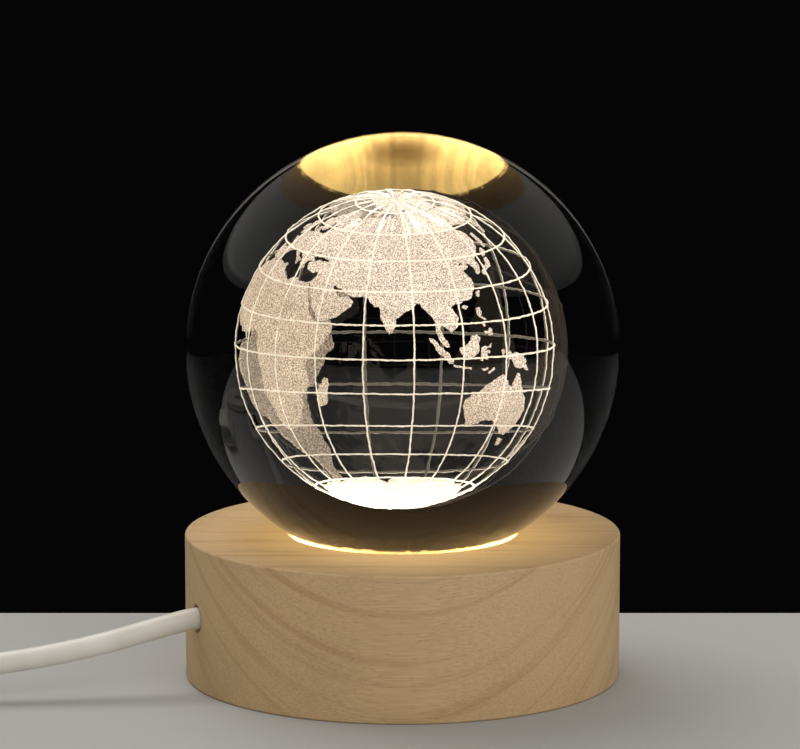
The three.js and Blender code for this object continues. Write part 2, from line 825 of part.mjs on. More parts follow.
function cordPassage() {
  const reach = half(switchLength) + cutOverrun;
  const bore = new THREE.CylinderGeometry(switchCordHole, switchCordHole, 2 * reach, smallSides);
  bore.rotateZ(Math.PI / 2);
  bore.translate(0, 0, switchMiddle);
  return solid(bore);
}

// Ribs that hold the jacket just inside each end wall
function clampRibs(low, high) {
  const width = switchCordHole + switchWall;
  const from = jacketInnerX + fitGap;
  const to = half(switchLength) - half(switchWall);
  return [
    block([from, -width, low], [to, width, high]),
    block([-to, -width, low], [-from, width, high]),
  ];
}

function switchBottom() {
  const [outer, inner] = caseHull();
  const reach = switchLength + switchWidth;
  const lower = block([-reach, -reach, -cutOverrun], [reach, reach, switchMiddle]);
  const parts = clampRibs(half(switchWall), switchMiddle);
  const holes = [cordPassage()];
  for (const side of [-1, 1]) {
    const y = [side * postInner, side * postOuter].sort((a, b) => a - b);
    const x = half(postLength);
    parts.push(block([-x, y[0], half(switchWall)], [x, y[1], pivotHeight]));
  }
  const notchRadius = half(pinDiameter) + fitGap;
  const notch = new THREE.CylinderGeometry(notchRadius, notchRadius, switchWidth, smallSides);
  notch.translate(0, 0, pivotHeight);
  holes.push(solid(notch));
  const screwHole = half(switchScrewDiameter) + fitGap;
  const flare = half(switchScrewHeadDiameter) + fitGap;
  const neck = switchScrewHeadHeight + half(switchWall);
  for (const [x, y] of bosses) {
    parts.push(drum(bossRadius, half(switchWall), switchMiddle, smallSides, x, y));
    holes.push(drum(screwHole, -cutOverrun, switchHeight, screwSides, x, y));
    holes.push(drum(flare, -cutOverrun, half(switchWall), screwSides, x, y));
    holes.push(drum(flare, half(switchWall), neck, screwSides, x, y, screwHole));
  }
  const hull = cut(outer, inner).intersect(lower);
  return cut(join(hull, ...parts), ...holes);
}

function switchTop() {
  const [outer, inner] = caseHull();
  const reach = switchLength + switchWidth;
  const upper = block([-reach, -reach, switchMiddle], [reach, reach, switchHeight + cutOverrun]);
  const parts = clampRibs(switchMiddle, switchHeight - half(switchWall));
  const holes = [cordPassage()];
  const windowCorner = half(switchWall);
  const low = half(switchMiddle + switchRoof);
  const opening = slab(windowLength, windowWidth, low, switchHeight + cutOverrun, windowCorner);
  holes.push(solid(opening));
  const screwHole = half(switchScrewDiameter) + fitGap;
  for (const [x, y] of bosses) {
    const top = switchHeight - half(switchWall);
    parts.push(drum(bossRadius, switchMiddle, top, smallSides, x, y));
    holes.push(drum(screwHole, switchMiddle - cutOverrun, switchRoof, screwSides, x, y));
  }
  const hull = cut(outer, inner).intersect(upper);
  return cut(join(hull, ...parts), ...holes);
}

piece("switch_case_bottom", geometryOf(switchBottom()), "paleAbs", inlineSwitch);
piece("switch_case_top", geometryOf(switchTop()), "paleAbs", inlineSwitch);

const rocker = new THREE.Group();
rocker.position.z = pivotHeight;
rocker.rotation.y = radians(rockerTilt);
inlineSwitch.add(rocker);

function rockerBody() {
  const outline = new THREE.Shape();
  const end = half(rockerLength);
  const bellyEnd = half(bridgeLength);
  outline.moveTo(-bellyEnd, -rockerBelly);
  outline.lineTo(bellyEnd, -rockerBelly);
  outline.lineTo(end, 0);
  outline.lineTo(end, rockerTop);
  outline.quadraticCurveTo(0, rockerTop - 2 * rockerDip, -end, rockerTop);
  outline.lineTo(-end, 0);
  const settings = { depth: rockerWidth, bevelEnabled: false, curveSegments: 8 };
  const paddle = new THREE.ExtrudeGeometry(outline, settings);
  paddle.translate(0, 0, -half(rockerWidth));
  paddle.rotateX(Math.PI / 2);
  const pinLength = rockerWidth + 2 * pinReach;
  const pin = new THREE.CylinderGeometry(
    half(pinDiameter),
    half(pinDiameter),
    pinLength,
    smallSides,
  );
  return join(solid(paddle), solid(pin));
}

piece("switch_rocker", geometryOf(rockerBody()), "blackAbs", rocker);

const bridgeTop = -rockerBelly - fitGap;
const bridgeBottom = bridgeTop - contactThickness;
const bridge = new THREE.BoxGeometry(bridgeLength, contactWidth, contactThickness);
bridge.translate(0, 0, half(bridgeTop + bridgeBottom));
piece("switch_bridge", bridge, "brass", rocker);

// Contacts on the case floor: one under the pivot, one under the end that is pressed to light up
function contact(x, top, toward) {
  const blade = half(contactThickness);
  const footEnd = x + toward * contactFoot;
  const foot = [Math.min(x - toward * blade, footEnd), Math.max(x - toward * blade, footEnd)];
  const y = half(contactWidth);
  return join(
    block([x - blade, -y, switchWall], [x + blade, y, top]),
    block([foot[0], -y, switchWall], [foot[1], y, switchWall + contactThickness]),
  );
}

const onContactX = half(bridgeLength) - contactThickness;
const bridgeLowest = pivotHeight + bridgeBottom * tiltCosine - half(bridgeLength) * tiltSine;
const onContactTop = bridgeLowest - fitGap;
const pivotContactTop = pivotHeight + bridgeBottom - fitGap;
const onContact = contact(onContactX, onContactTop, 1);
const pivotContact = contact(0, pivotContactTop, -1);
piece("switch_contact_1", geometryOf(onContact), "brass", inlineSwitch);
piece("switch_contact_2", geometryOf(pivotContact), "brass", inlineSwitch);

// Wires inside the switch: the black one runs through, the red one is broken at the contacts
const switchWireEnd = jacketInnerX - fitGap;
const switchWireLow = switchWall + wireDiameter;
const switchWireSide = half(half(contactWidth) + postInner);
const wireLane = half(wireSpacing);

function vectors(points) {
  return points.map(([x, y, z]) => new THREE.Vector3(x, y, z));
}

function redWire(toward, footEnd) {
  const down = footEnd + toward * half(wireDiameter);
  const landing = switchWall + contactThickness + fitGap + half(wireDiameter);
  return vectors([
    [toward * switchWireEnd, wireLane, switchMiddle],
    [toward * half(switchWireEnd + Math.abs(down)), wireLane, half(switchMiddle + switchWireLow)],
    [down, wireLane, switchWireLow + half(wireDiameter)],
    [footEnd - toward * half(wireDiameter), wireLane, landing],
  ]);
}

const blackWirePath = vectors([
  [switchWireEnd, -wireLane, switchMiddle],
  [switchWireEnd - 2 * wireDiameter, -wireLane, half(switchMiddle + switchWireLow)],
  [half(switchWireEnd) + half(wireDiameter), -half(switchWireSide + wireLane), switchWireLow],
  [half(half(switchWireEnd)), -switchWireSide, switchWireLow],
  [-half(half(switchWireEnd)), -switchWireSide, switchWireLow],
  [-half(switchWireEnd) - half(wireDiameter), -half(switchWireSide + wireLane), switchWireLow],
  [-switchWireEnd + 2 * wireDiameter, -wireLane, half(switchMiddle + switchWireLow)],
  [-switchWireEnd, -wireLane, switchMiddle],
]);
const redInPath = redWire(1, onContactX + contactFoot);
const redOutPath = redWire(-1, -contactFoot);
const redIn = tube(redInPath, wireDiameter, wireSides, redInSteps);
const redOut = tube(redOutPath, wireDiameter, wireSides, redOutSteps);
const blackThrough = tube(blackWirePath, wireDiameter, wireSides, blackWireSteps);
piece("switch_wire_red_1", redIn, "redPvc", inlineSwitch);
piece("switch_wire_red_2", redOut, "redPvc", inlineSwitch);
piece("switch_wire_black", blackThrough, "blackPvc", inlineSwitch);

bosses.forEach(([x, y], k) => {
  const shankRadius = half(switchScrewDiameter);
  const headRadius = half(switchScrewHeadDiameter);
  const headLow = half(switchWall);
  const neck = headLow + switchScrewHeadHeight;
  const tip = switchRoof - fitGap;
  const profile = [
    [0, headLow],
    [headRadius, headLow],
    [shankRadius, neck],
    [shankRadius, tip - switchScrewDiameter],
    [0, tip],
  ];
  const screw = geometryOf(turned(profile, screwSides));
  piece(`switch_screw_${k + 1}`, screw, "steel", inlineSwitch).position.set(x, y, 0);
});

// Lead from the base to the switch: straight through the wall, then sagging to the switch
const switchEntryX = switchNearX - jacketGrip;
const leadRoute = vectors([
  [-31.6, -12.1, 9.6],
  [-35.5, -13.2, 8.7],
  [-41, -14.5, 7.4],
  [-47.5, -15.8, 6.2],
  [-54, -16.8, 5.3],
  [-60, -17.7, 4.7],
]);
const leadPath = [
  alongExit(jacketEndRadius, 0, cordHoleHeight),
  alongExit(half(jacketEndRadius + baseRadius), 0, cordHoleHeight),
  alongExit(baseRadius, 0, cordHoleHeight),
  ...leadRoute,
  new THREE.Vector3(switchNearX, switchLineY, switchMiddle),
  new THREE.Vector3(switchEntryX, switchLineY, switchMiddle),
];
piece("cord_lead", tube(leadPath, cordDiameter, cordSides, leadSteps), "palePvc");

// Coil: spirals in along the table, climbs a layer, and spirals out on top
const coilTurns = coilLoops + (((coilStartTurn - coilEndTurn) % 360) + 360) / 360;
const coilBand = half(coilTurns) * coilPitch;
const coilOuterRadius = half(coilMeanDiameter) + half(coilBand);
const coilLow = strapThickness + fitGap + cordRadius;

function coilPoint(turn) {
  const angle = radians(coilStartTurn - 360 * turn);
  const fromMiddle = turn - half(coilTurns);
  const radius = coilOuterRadius - coilBand + Math.abs(fromMiddle) * coilPitch;
  const climb = THREE.MathUtils.smoothstep(fromMiddle, -half(coilClimb), half(coilClimb));
  const x = coilCentreX + radius * Math.cos(angle);
  const y = coilCentreY + radius * Math.sin(angle);
  return new THREE.Vector3(x, y, coilLow + climb * coilPitch);
}

function coilTangent(turn) {
  const angle = radians(coilStartTurn - 360 * turn);
  return new THREE.Vector3(Math.sin(angle), -Math.cos(angle), 0);
}

const coilStart = coilPoint(0);
const coilEnd = coilPoint(coilTurns);
const startTangent = coilTangent(0);
const endTangent = coilTangent(coilTurns);
const coilSteps = Math.round(coilTurns * coilStepsPerLoop);
const coilPath = [];
coilPath.push(coilStart.clone().addScaledVector(startTangent, -cordDiameter));
for (let k = 0; k <= coilSteps; k += 1) coilPath.push(coilPoint((coilTurns * k) / coilSteps));
coilPath.push(coilEnd.clone().addScaledVector(endTangent, cordDiameter));

function coilTube(path) {
  const corners = [];
  const faces = [];
  const up = new THREE.Vector3(0, 0, 1);
  path.forEach((point, k) => {
    const before = path[Math.max(k - 1, 0)];
    const after = path[Math.min(k + 1, path.length - 1)];
    const ahead = after.clone().sub(before).normalize();
    const side = ahead.clone().cross(up).normalize();
    const rise = side.clone().cross(ahead);
    for (let corner = 0; corner < coilSides; corner += 1) {
      const turn = (corner / coilSides) * 2 * Math.PI;
      const place = point.clone();
      place.addScaledVector(side, cordRadius * Math.cos(turn));
      place.addScaledVector(rise, cordRadius * Math.sin(turn));
      corners.push(place);
    }
  });
  for (let k = 0; k < path.length - 1; k += 1) {
    for (let corner = 0; corner < coilSides; corner += 1) {
      const next = (corner + 1) % coilSides;
      const low = k * coilSides;
      const high = low + coilSides;
      faces.push([low + corner, high + corner, high + next]);
      faces.push([low + corner, high + next, low + next]);
    }
  }
  const last = (path.length - 1) * coilSides;
  for (let corner = 2; corner < coilSides; corner += 1) {
    faces.push([0, corner - 1, corner]);
    faces.push([last, last + corner, last + corner - 1]);
  }
  return patchGeometry(corners, faces);
}

// The least gap between turns, on points that lie half a loop or more apart along the coil
function leastCoilGap(path) {
  let least = Infinity;
  const apart = half(coilStepsPerLoop);
  for (let a = 0; a < path.length; a += 1) {
    for (let b = a + apart; b < path.length; b += 1) {
      least = Math.min(least, path[a].distanceTo(path[b]));
    }
  }
  return least - cordDiameter;
}

console.log(`cord_coil: least gap to itself ${leastCoilGap(coilPath).toFixed(2)} mm`);
piece("cord_coil", geometryOf(solid(coilTube(coilPath))), "palePvc");

// Strap round the coil's turns on the far side, holding them together
const strap = new THREE.Group();
strap.position.set(coilCentreX, coilCentreY, 0);
strap.rotation.z = Math.PI;
lamp.add(strap);

function coilStrap() {
  const insideNear = coilOuterRadius - coilBand - cordRadius - fitGap;
  const insideFar = coilOuterRadius + cordRadius + fitGap;
  const insideTop = coilLow + coilPitch + cordRadius + fitGap;
  const y = half(strapWidth);
  const outer = block(
    [insideNear - strapThickness, -y, 0],
    [insideFar + strapThickness, y, insideTop + strapThickness],
  );
  const inner = block(
    [insideNear, -y - cutOverrun, strapThickness],
    [insideFar, y + cutOverrun, insideTop],
  );
  return cut(outer, inner);
}

piece("coil_strap", geometryOf(coilStrap()), "strap", strap);

// Lead from the switch down to the start of the coil
const switchFarX = switchNearX - switchLength;
const middleRoute = vectors([
  [-98, -18, 4.3],
  [-103, -18, 3.6],
  [-108, -18.1, 2.9],
  [-113, -18.6, 2.5],
]);
const middleEnd = coilPath[0].clone().addScaledVector(startTangent, -fitGap);
const middlePath = [
  new THREE.Vector3(switchFarX + jacketGrip, switchLineY, switchMiddle),
  new THREE.Vector3(switchFarX, switchLineY, switchMiddle),
  ...middleRoute,
  middleEnd.clone().addScaledVector(startTangent, -cordDiameter),
  middleEnd,
];
piece("cord_middle", tube(middlePath, cordDiameter, cordSides, middleSteps), "palePvc");

// Plug, lying flat between the coil and the lamp, in line with the end of the coil
const plugMiddle = half(plugHeight);
const plugLineY = coilEnd.y;
const plug = new THREE.Group();
plug.position.set(plugRearX, plugLineY, 0);
lamp.add(plug);

const shellFront = plugLength + shellReach;
const shellRear = plugLength - shellSunk;

function plugOvermould() {
  const body = slab(plugLength, plugWidth, 0, plugHeight, plugCorner, plugEdge);
  body.translate(half(plugLength), 0, 0);
  const relief = new THREE.CylinderGeometry(
    half(reliefBaseDiameter),
    half(reliefTipDiameter),
    reliefLength + plugEdge,
    smallSides,
  );
  relief.rotateZ(-Math.PI / 2);
  relief.translate(half(plugEdge - reliefLength), 0, plugMiddle);
  const pocket = block(
    [shellRear - fitGap, -half(shellWidth) - fitGap, plugMiddle - half(shellHeight) - fitGap],
    [plugLength + cutOverrun, half(shellWidth) + fitGap, plugMiddle + half(shellHeight) + fitGap],
  );
  const boreLength = reliefLength + cutOverrun + jacketPlugDepth + fitGap;
  const bore = new THREE.CylinderGeometry(
    switchCordHole,
    switchCordHole,
    boreLength,
    smallSides,
  );
  bore.rotateZ(Math.PI / 2);
  bore.translate(jacketPlugDepth + fitGap - half(boreLength), 0, plugMiddle);
  return cut(join(solid(body), solid(relief)), pocket, solid(bore));
}

piece("plug_overmould", geometryOf(plugOvermould()), "palePvc", plug);

function usbShell() {
  const y = half(shellWidth);
  const z = half(shellHeight);
  const outer = block([shellRear, -y, plugMiddle - z], [shellFront, y, plugMiddle + z]);
  const inner = block(
    [shellRear - cutOverrun, shellWall - y, plugMiddle - z + shellWall],
    [shellFront + cutOverrun, y - shellWall, plugMiddle + z - shellWall],
  );
  const windows = [-1, 1].map((side) => {
    const middle = side * half(shellWindowSpacing);
    const front = half(plugLength + shellFront) + half(shellWindowLength);
    return block(
      [front - shellWindowLength, middle - half(shellWindowWidth), plugMiddle - z - cutOverrun],
      [front, middle + half(shellWindowWidth), plugMiddle + z + cutOverrun],
    );
  });
  return cut(outer, inner, ...windows);
}

piece("usb_shell", geometryOf(usbShell()), "steel", plug);

const tongueBottom = plugMiddle - half(shellHeight) + shellWall + fitGap;
const tongueTop = tongueBottom + tongueThickness;
const tongueHalfWidth = half(shellWidth) - shellWall - fitGap;

function usbTongue() {
  const blockTop = plugMiddle + half(shellHeight) - shellWall - fitGap;
  return join(
    block([shellRear, -tongueHalfWidth, tongueBottom], [plugLength, tongueHalfWidth, blockTop]),
    block(
      [shellRear, -tongueHalfWidth, tongueBottom],
      [shellFront - tongueSetback, tongueHalfWidth, tongueTop],
    ),
  );
}

piece("usb_tongue", geometryOf(usbTongue()), "nylon", plug);

for (let k = 0; k < plugContactCount; k += 1) {
  const y = (k - half(plugContactCount - 1)) * plugContactSpacing;
  const strip = new THREE.BoxGeometry(plugContactLength, plugContactWidth, plugContactThickness);
  const mesh = piece(`usb_contact_${k + 1}`, strip, "brass", plug);
  const front = shellFront - 2 * tongueSetback;
  mesh.position.set(front - half(plugContactLength), y, tongueTop + half(plugContactThickness));
}

// End of the lead, from the coil into the plug
const tailStart = coilPath[coilPath.length - 1].clone().addScaledVector(endTangent, fitGap);
const tailRoute = vectors([
  [-125, 22, 5.2],
  [-119, 22, 4.6],
]);
const tailPath = [
  tailStart,
  tailStart.clone().addScaledVector(endTangent, cordDiameter),
  ...tailRoute,
  new THREE.Vector3(plugRearX - reliefLength, plugLineY, plugMiddle),
  new THREE.Vector3(plugRearX, plugLineY, plugMiddle),
  new THREE.Vector3(plugRearX + jacketPlugDepth, plugLineY, plugMiddle),
];
piece("cord_tail", tube(tailPath, cordDiameter, cordSides, tailSteps), "palePvc");

export default lamp;
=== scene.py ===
"""A crystal ball lamp: a glass ball with a globe engraved inside it, lit from below by a turned
beech base, with a thin lead, an in-line rocker switch, a coil of spare lead and a flat plug."""
import math
import random

import bmesh
import bpy
import numpy as np
from mathutils import Matrix, Vector
from mathutils.geometry import delaunay_2d_cdt


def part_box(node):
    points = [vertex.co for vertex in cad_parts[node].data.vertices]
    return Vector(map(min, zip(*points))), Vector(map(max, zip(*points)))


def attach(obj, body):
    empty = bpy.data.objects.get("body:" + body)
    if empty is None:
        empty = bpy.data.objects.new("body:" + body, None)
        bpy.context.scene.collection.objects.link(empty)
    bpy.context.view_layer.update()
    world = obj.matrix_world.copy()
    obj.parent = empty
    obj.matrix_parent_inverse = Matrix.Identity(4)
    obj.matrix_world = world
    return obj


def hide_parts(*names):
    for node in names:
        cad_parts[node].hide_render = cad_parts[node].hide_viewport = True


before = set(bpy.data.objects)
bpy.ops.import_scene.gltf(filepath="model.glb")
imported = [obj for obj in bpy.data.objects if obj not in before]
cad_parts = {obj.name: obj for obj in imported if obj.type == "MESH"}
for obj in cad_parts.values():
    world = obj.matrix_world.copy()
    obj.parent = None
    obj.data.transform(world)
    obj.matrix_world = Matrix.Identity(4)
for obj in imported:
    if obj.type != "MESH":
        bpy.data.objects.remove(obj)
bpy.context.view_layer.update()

# Camera: a long lens stands a little over half a metre in front of the lamp, just above the
# height of the ball, and looks slightly down on it.
MM = 0.001
LENS = 185.67
SENSOR_WIDTH = 36.0
CAMERA_PLACE = Vector((-0.35, -564.0, 136.1)) * MM
CAMERA_PITCH = math.radians(9.45)

camera_data = bpy.data.cameras.new("camera")
camera_data.lens = LENS
camera_data.sensor_width = SENSOR_WIDTH
camera = bpy.data.objects.new("camera", camera_data)
camera.location = CAMERA_PLACE
camera.rotation_euler = (math.pi / 2 - CAMERA_PITCH, 0, 0)
bpy.context.scene.collection.objects.link(camera)
bpy.context.scene.camera = camera

# Lead: 3 mm round cord, two fine wires in soft PVC, extruded and wound up while warm. It leaves
# the base through a drilled hole, runs to the in-line switch, and on into a tied coil and its plug.
LEAD_DIAMETER = 3.0 * MM
LEAD_EXIT = Vector((-28.287, -10.859, 10.1)) * MM
LEAD_PVC = "#E4DFD4"
LEAD_PVC_SHADE = "#D6D0C2"
PVC_CLOUD = 9.0 * MM
PVC_PEEL = 0.35 * MM
LEAD_ROUTE = [
    (-19.138, -7.347, 10.1), (-23.713, -9.103, 10.1), (-28.287, -10.859, 10.1), (-31.6, -12.1, 9.6),
    (-35.5, -13.2, 8.7), (-41.0, -14.5, 7.4), (-47.5, -15.8, 6.2), (-54.0, -16.8, 5.3),
    (-60.0, -17.7, 4.7), (-64.0, -18.0, 4.5), (-67.5, -18.0, 4.5),
]
TO_COIL_ROUTE = [
    (-90.5, -18.0, 4.5), (-94.0, -18.0, 4.5), (-98.0, -18.0, 4.3), (-103.0, -18.0, 3.6),
    (-108.0, -18.1, 2.9), (-113.0, -18.6, 2.5), (-121.13, -21.15, 2.3),
]
TO_PLUG_ROUTE = [
    (-133.0, 22.01, 5.8), (-129.7, 22.01, 5.6), (-125.0, 22.0, 5.2), (-119.0, 22.0, 4.6),
    (-111.0, 22.01, 4.0), (-102.0, 22.01, 4.0), (-98.0, 22.01, 4.0),
]
COIL_CENTRE = (-136.0, -2.0)
COIL_TURNS = 103 / 12
COIL_START = -60.0
COIL_MEAN_RADIUS = 16.5
COIL_PITCH = 3.5
COIL_LOW = 2.3
COIL_POINTS_PER_TURN = 24


def linear(colour):
    """The linear red, green, blue and alpha of an sRGB hex colour."""
    channels = [int(colour[i:i + 2], 16) / 255 for i in (1, 3, 5)]
    bent = [c / 12.92 if c <= 0.04045 else ((c + 0.055) / 1.055) ** 2.4 for c in channels]
    return (*bent, 1.0)


def add(tree, kind, sockets=(), ramp=(), **settings):
    """Adds a shader node with its settings. Its inputs, by name or in their own order, take values,
    hex colours or other nodes' outputs."""
    node = tree.nodes.new("ShaderNode" + kind)
    for name, value in settings.items():
        setattr(node, name, value)
    for stop, (place, colour) in enumerate(ramp):
        if stop > 1:
            node.color_ramp.elements.new(place)
        node.color_ramp.elements[stop].position = place
        node.color_ramp.elements[stop].color = linear(colour)
    inputs = sockets if isinstance(sockets, dict) else dict(enumerate(sockets))
    for name, value in inputs.items():
        if isinstance(value, bpy.types.Node):
            value = value.outputs[0]
        if isinstance(value, bpy.types.NodeSocket):
            tree.links.new(value, node.inputs[name])
        else:
            node.inputs[name].default_value = linear(value) if isinstance(value, str) else value
    return node


def start_finish(name):
    """A new material with an empty node tree, and the tree."""
    material = bpy.data.materials.new(name)
    material.use_nodes = True
    material.node_tree.nodes.clear()
    return material, material.node_tree


def extruded_pvc(name, colour, shade):
    """Soft PVC, extruded: an even, slightly waxy skin. Its orange peel is drawn about three times
    as coarse as it is, so that it shows."""
    material, tree = start_finish(name)
    place = add(tree, "TexCoord").outputs["Object"]
    cloudy = add(tree, "TexNoise", {"Vector": place, "Scale": 1 / PVC_CLOUD, "Detail": 3.0})
    peel = add(tree, "TexNoise", {"Vector": place, "Scale": 1 / PVC_PEEL, "Detail": 2.0})
    tint = add(tree, "ValToRGB", [cloudy], ramp=[(0.35, shade), (0.65, colour)])
    gloss = add(tree, "MapRange", [cloudy, 0, 1, 0.38, 0.52])
    bump = add(tree, "Bump", {"Height": peel, "Strength": 0.12, "Distance": 0.05 * MM})
    add(tree, "OutputMaterial", [add(tree, "BsdfPrincipled", {
        "Base Color": tint, "Roughness": gloss, "Normal": bump,
        "IOR": 1.53, "Subsurface Weight": 0.08, "Subsurface Scale": 0.6 * MM})])
    return material


def place_piece(piece, body, slot, *nodes):
    """Shows the piece, lets it ride on its body, and hides the CAD nodes that it stands in for."""
    if piece.name not in bpy.context.scene.collection.objects:
        bpy.context.scene.collection.objects.link(piece)
    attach(piece, body)
    if nodes:
        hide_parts(*nodes)


def coil_route():
    """The coil's centre line: it winds in on the lower layer, climbs, and winds out on the upper."""
    points = []
    steps = round(COIL_TURNS * COIL_POINTS_PER_TURN)
    for step in range(steps + 1):
        turn = COIL_TURNS * step / steps
        from_middle = turn - COIL_TURNS / 2
        angle = math.radians(COIL_START - 360 * turn)
        radius = COIL_MEAN_RADIUS + (abs(from_middle) - COIL_TURNS / 4) * COIL_PITCH
        share = min(max(from_middle * 2 + 0.5, 0), 1)
        climb = share * share * (3 - 2 * share)
        x = COIL_CENTRE[0] + radius * math.cos(angle)
        y = COIL_CENTRE[1] + radius * math.sin(angle)
        points.append((x, y, COIL_LOW + climb * COIL_PITCH))
    return points


def cord_curve(name, route, material):
    """A round cord along one smooth open spline through the route's points, given in millimetres."""
    curve = bpy.data.curves.new(name, "CURVE")
    curve.dimensions = "3D"
    curve.bevel_depth = LEAD_DIAMETER / 2
    curve.bevel_resolution = 5
    curve.resolution_u = 5
    curve.use_fill_caps = True
    spline = curve.splines.new("BEZIER")
    spline.bezier_points.add(len(route) - 1)
    for knot, point in zip(spline.bezier_points, route):
        knot.co = Vector(point) * MM
        knot.handle_left_type = "AUTO"
        knot.handle_right_type = "AUTO"
    curve.materials.append(material)
    return bpy.data.objects.new(name, curve)


lead_pvc = extruded_pvc("lead_pvc_extruded", LEAD_PVC, LEAD_PVC_SHADE)
spare_route = TO_COIL_ROUTE + coil_route() + TO_PLUG_ROUTE
lead_to_switch = cord_curve("lead_to_switch", LEAD_ROUTE, lead_pvc)
lead_to_plug = cord_curve("lead_to_plug", spare_route, lead_pvc)
place_piece(lead_to_switch, "base", "lead", "cord_lead")
place_piece(lead_to_plug, "base", "lead", "cord_middle", "cord_coil", "cord_tail")

# Base: one block of beech, turned, drilled and counterbored, sanded fine and left bare. Its grain runs from
# side to side, with the short darker flecks that beech has. The light of the well in its middle is painted
# on the wood as a glow through the seat and over its top.
BASE_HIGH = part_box("wood_base")[1]
BASE_RADIUS = BASE_HIGH.x
BASE_TOP = BASE_HIGH.z
WELL_RADIUS = 13.8 * MM
SEAT_FOOT = Vector((13.8, 18.81)) * MM
SEAT_MOUTH_RADIUS = 16.2 * MM
CEILING = 13.0 * MM
RECESS_RADIUS = 22.5 * MM
COVER_SEAT_RADIUS = 27.3 * MM
COVER_LEDGE = 2.8 * MM
BASE_EDGE = 0.35 * MM
SEAT_EDGE = 0.12 * MM
RECESS_EDGE = 0.2 * MM
TURNED_SIDES = 256
ROUND_SIDES = 48
LEAD_HOLE_RADIUS = 2.0 * MM
LEAD_HOLE_REACH = (15.0 * MM, 40.0 * MM)
LEAD_HOLE_TURN = math.radians(201)
BEECH_PALE = "#CEAC7D"
BEECH_MID = "#CAA87A"
BEECH_DARK = "#BB9564"
BEECH_FLECK = "#8F693F"
GROWTH_LAYER = (60.0 * MM, 1.6 * MM)
FIBRE = (9.0 * MM, 0.24 * MM)
DASH = (3.0 * MM, 0.42 * MM)
BEECH_CLOUD = 16.0 * MM
LATHE_RING = 0.3 * MM
PITH = Vector((0, 46, -64)) * MM
# Painted light: the glow of the well and over the top is emission painted on the wood, in these colours,
# strengths and spans.
WARM_LIGHT = "#FFF6D2"
WELL_LIGHT = "#FFD27C"
WELL_STRENGTH = 12.4
WELL_PATCHES = 4
WELL_SHADOW = (CEILING + 1.2 * MM, CEILING + 2.8 * MM)
RIM_GLOW_BEADS = (15.55 * MM, 15.75 * MM)
MOUTH_FADE = 0.2 * MM
TOP_GLOW = (16.0 * MM, 31.0 * MM)
TOP_GLOW_SHARE = (0.72, 0.02)
TOP_SKIN = 0.05 * MM


def eased(corners, steps=5):
    """A profile of (radius, height, easing) corners, each eased by an arc of that radius."""
    points = []
    for k, (x, z, ease) in enumerate(corners):
        corner = Vector((x, z))
        if ease == 0:
            points.append(corner)
            continue
        before = Vector(corners[k - 1][:2]) - corner
        after = Vector(corners[(k + 1) % len(corners)][:2]) - corner
        half_angle = before.angle(after) / 2
        reach = ease / math.tan(half_angle)
        first = corner + before.normalized() * reach
        last = corner + after.normalized() * reach
        inward = (before.normalized() + after.normalized()).normalized()
        middle = corner + inward * (ease / math.sin(half_angle))
        start = first - middle
        sweep = start.angle_signed(last - middle)
        for step in range(steps + 1):
            points.append(middle + Matrix.Rotation(-sweep * step / steps, 2) @ start)
    return points


def turned(name, profile, sides, closed=False, smooth_angle=40):
    """A mesh turned round the Z axis from (radius, height) points: a closed ring, or axis to axis."""
    verts = []
    rings = []
    for radius, height in profile:
        count = sides if radius > 1e-7 else 1
        rings.append(range(len(verts), len(verts) + count))
        for k in range(count):
            angle = 2 * math.pi * k / sides
            verts.append((radius * math.cos(angle), radius * math.sin(angle), height))
    pairs = list(zip(rings, rings[1:]))
    if closed:
        pairs.append((rings[-1], rings[0]))
    faces = []
    for lower, upper in pairs:
        for k in range(sides):
            quad = [lower[k % len(lower)], lower[(k + 1) % len(lower)],
                    upper[(k + 1) % len(upper)], upper[k % len(upper)]]
            face = list(dict.fromkeys(quad))
            if len(face) > 2:
                faces.append(face)
    return solid_piece(name, verts, faces, smooth_angle)


def solid_piece(name, verts, faces, smooth_angle=40):
    """An object from vertices and faces, its normals outward and its soft edges shaded smooth."""
    mesh = bpy.data.meshes.new(name)
    mesh.from_pydata(verts, [], faces)
    shaper = bmesh.new()
    shaper.from_mesh(mesh)
    bmesh.ops.recalc_face_normals(shaper, faces=shaper.faces)
    shaper.to_mesh(mesh)
    shaper.free()
    mesh.shade_smooth()
    mesh.set_sharp_from_angle(angle=math.radians(smooth_angle))
    piece = bpy.data.objects.new(name, mesh)
    bpy.context.scene.collection.objects.link(piece)
    return piece


def drill(radius, low, high, sides=40):
    """A round rod along Z, to be cut away as a hole."""
    return turned("drill", [(0, low), (radius, low), (radius, high), (0, high)], sides)


def moved(piece, x=0.0, y=0.0, z=0.0, turn=0.0, axis="Z"):
    """The piece with its mesh turned about an axis and then moved."""
    piece.data.transform(Matrix.Translation((x, y, z)) @ Matrix.Rotation(turn, 4, axis))
    return piece


def cut_away(piece, *tools):
    """Takes the tools' shapes out of the piece, and the tools out of the scene."""
    for tool in tools:
        cut = piece.modifiers.new("cut", "BOOLEAN")
        cut.operation = "DIFFERENCE"
        cut.solver = "EXACT"
        cut.object = tool
    bpy.context.view_layer.update()
    shown = bpy.context.evaluated_depsgraph_get()
    mesh = bpy.data.meshes.new_from_object(piece.evaluated_get(shown))
    piece.modifiers.clear()
    piece.data = mesh
    mesh.shade_smooth()
    mesh.set_sharp_from_angle(angle=math.radians(40))
    for tool in tools:
        bpy.data.objects.remove(tool)


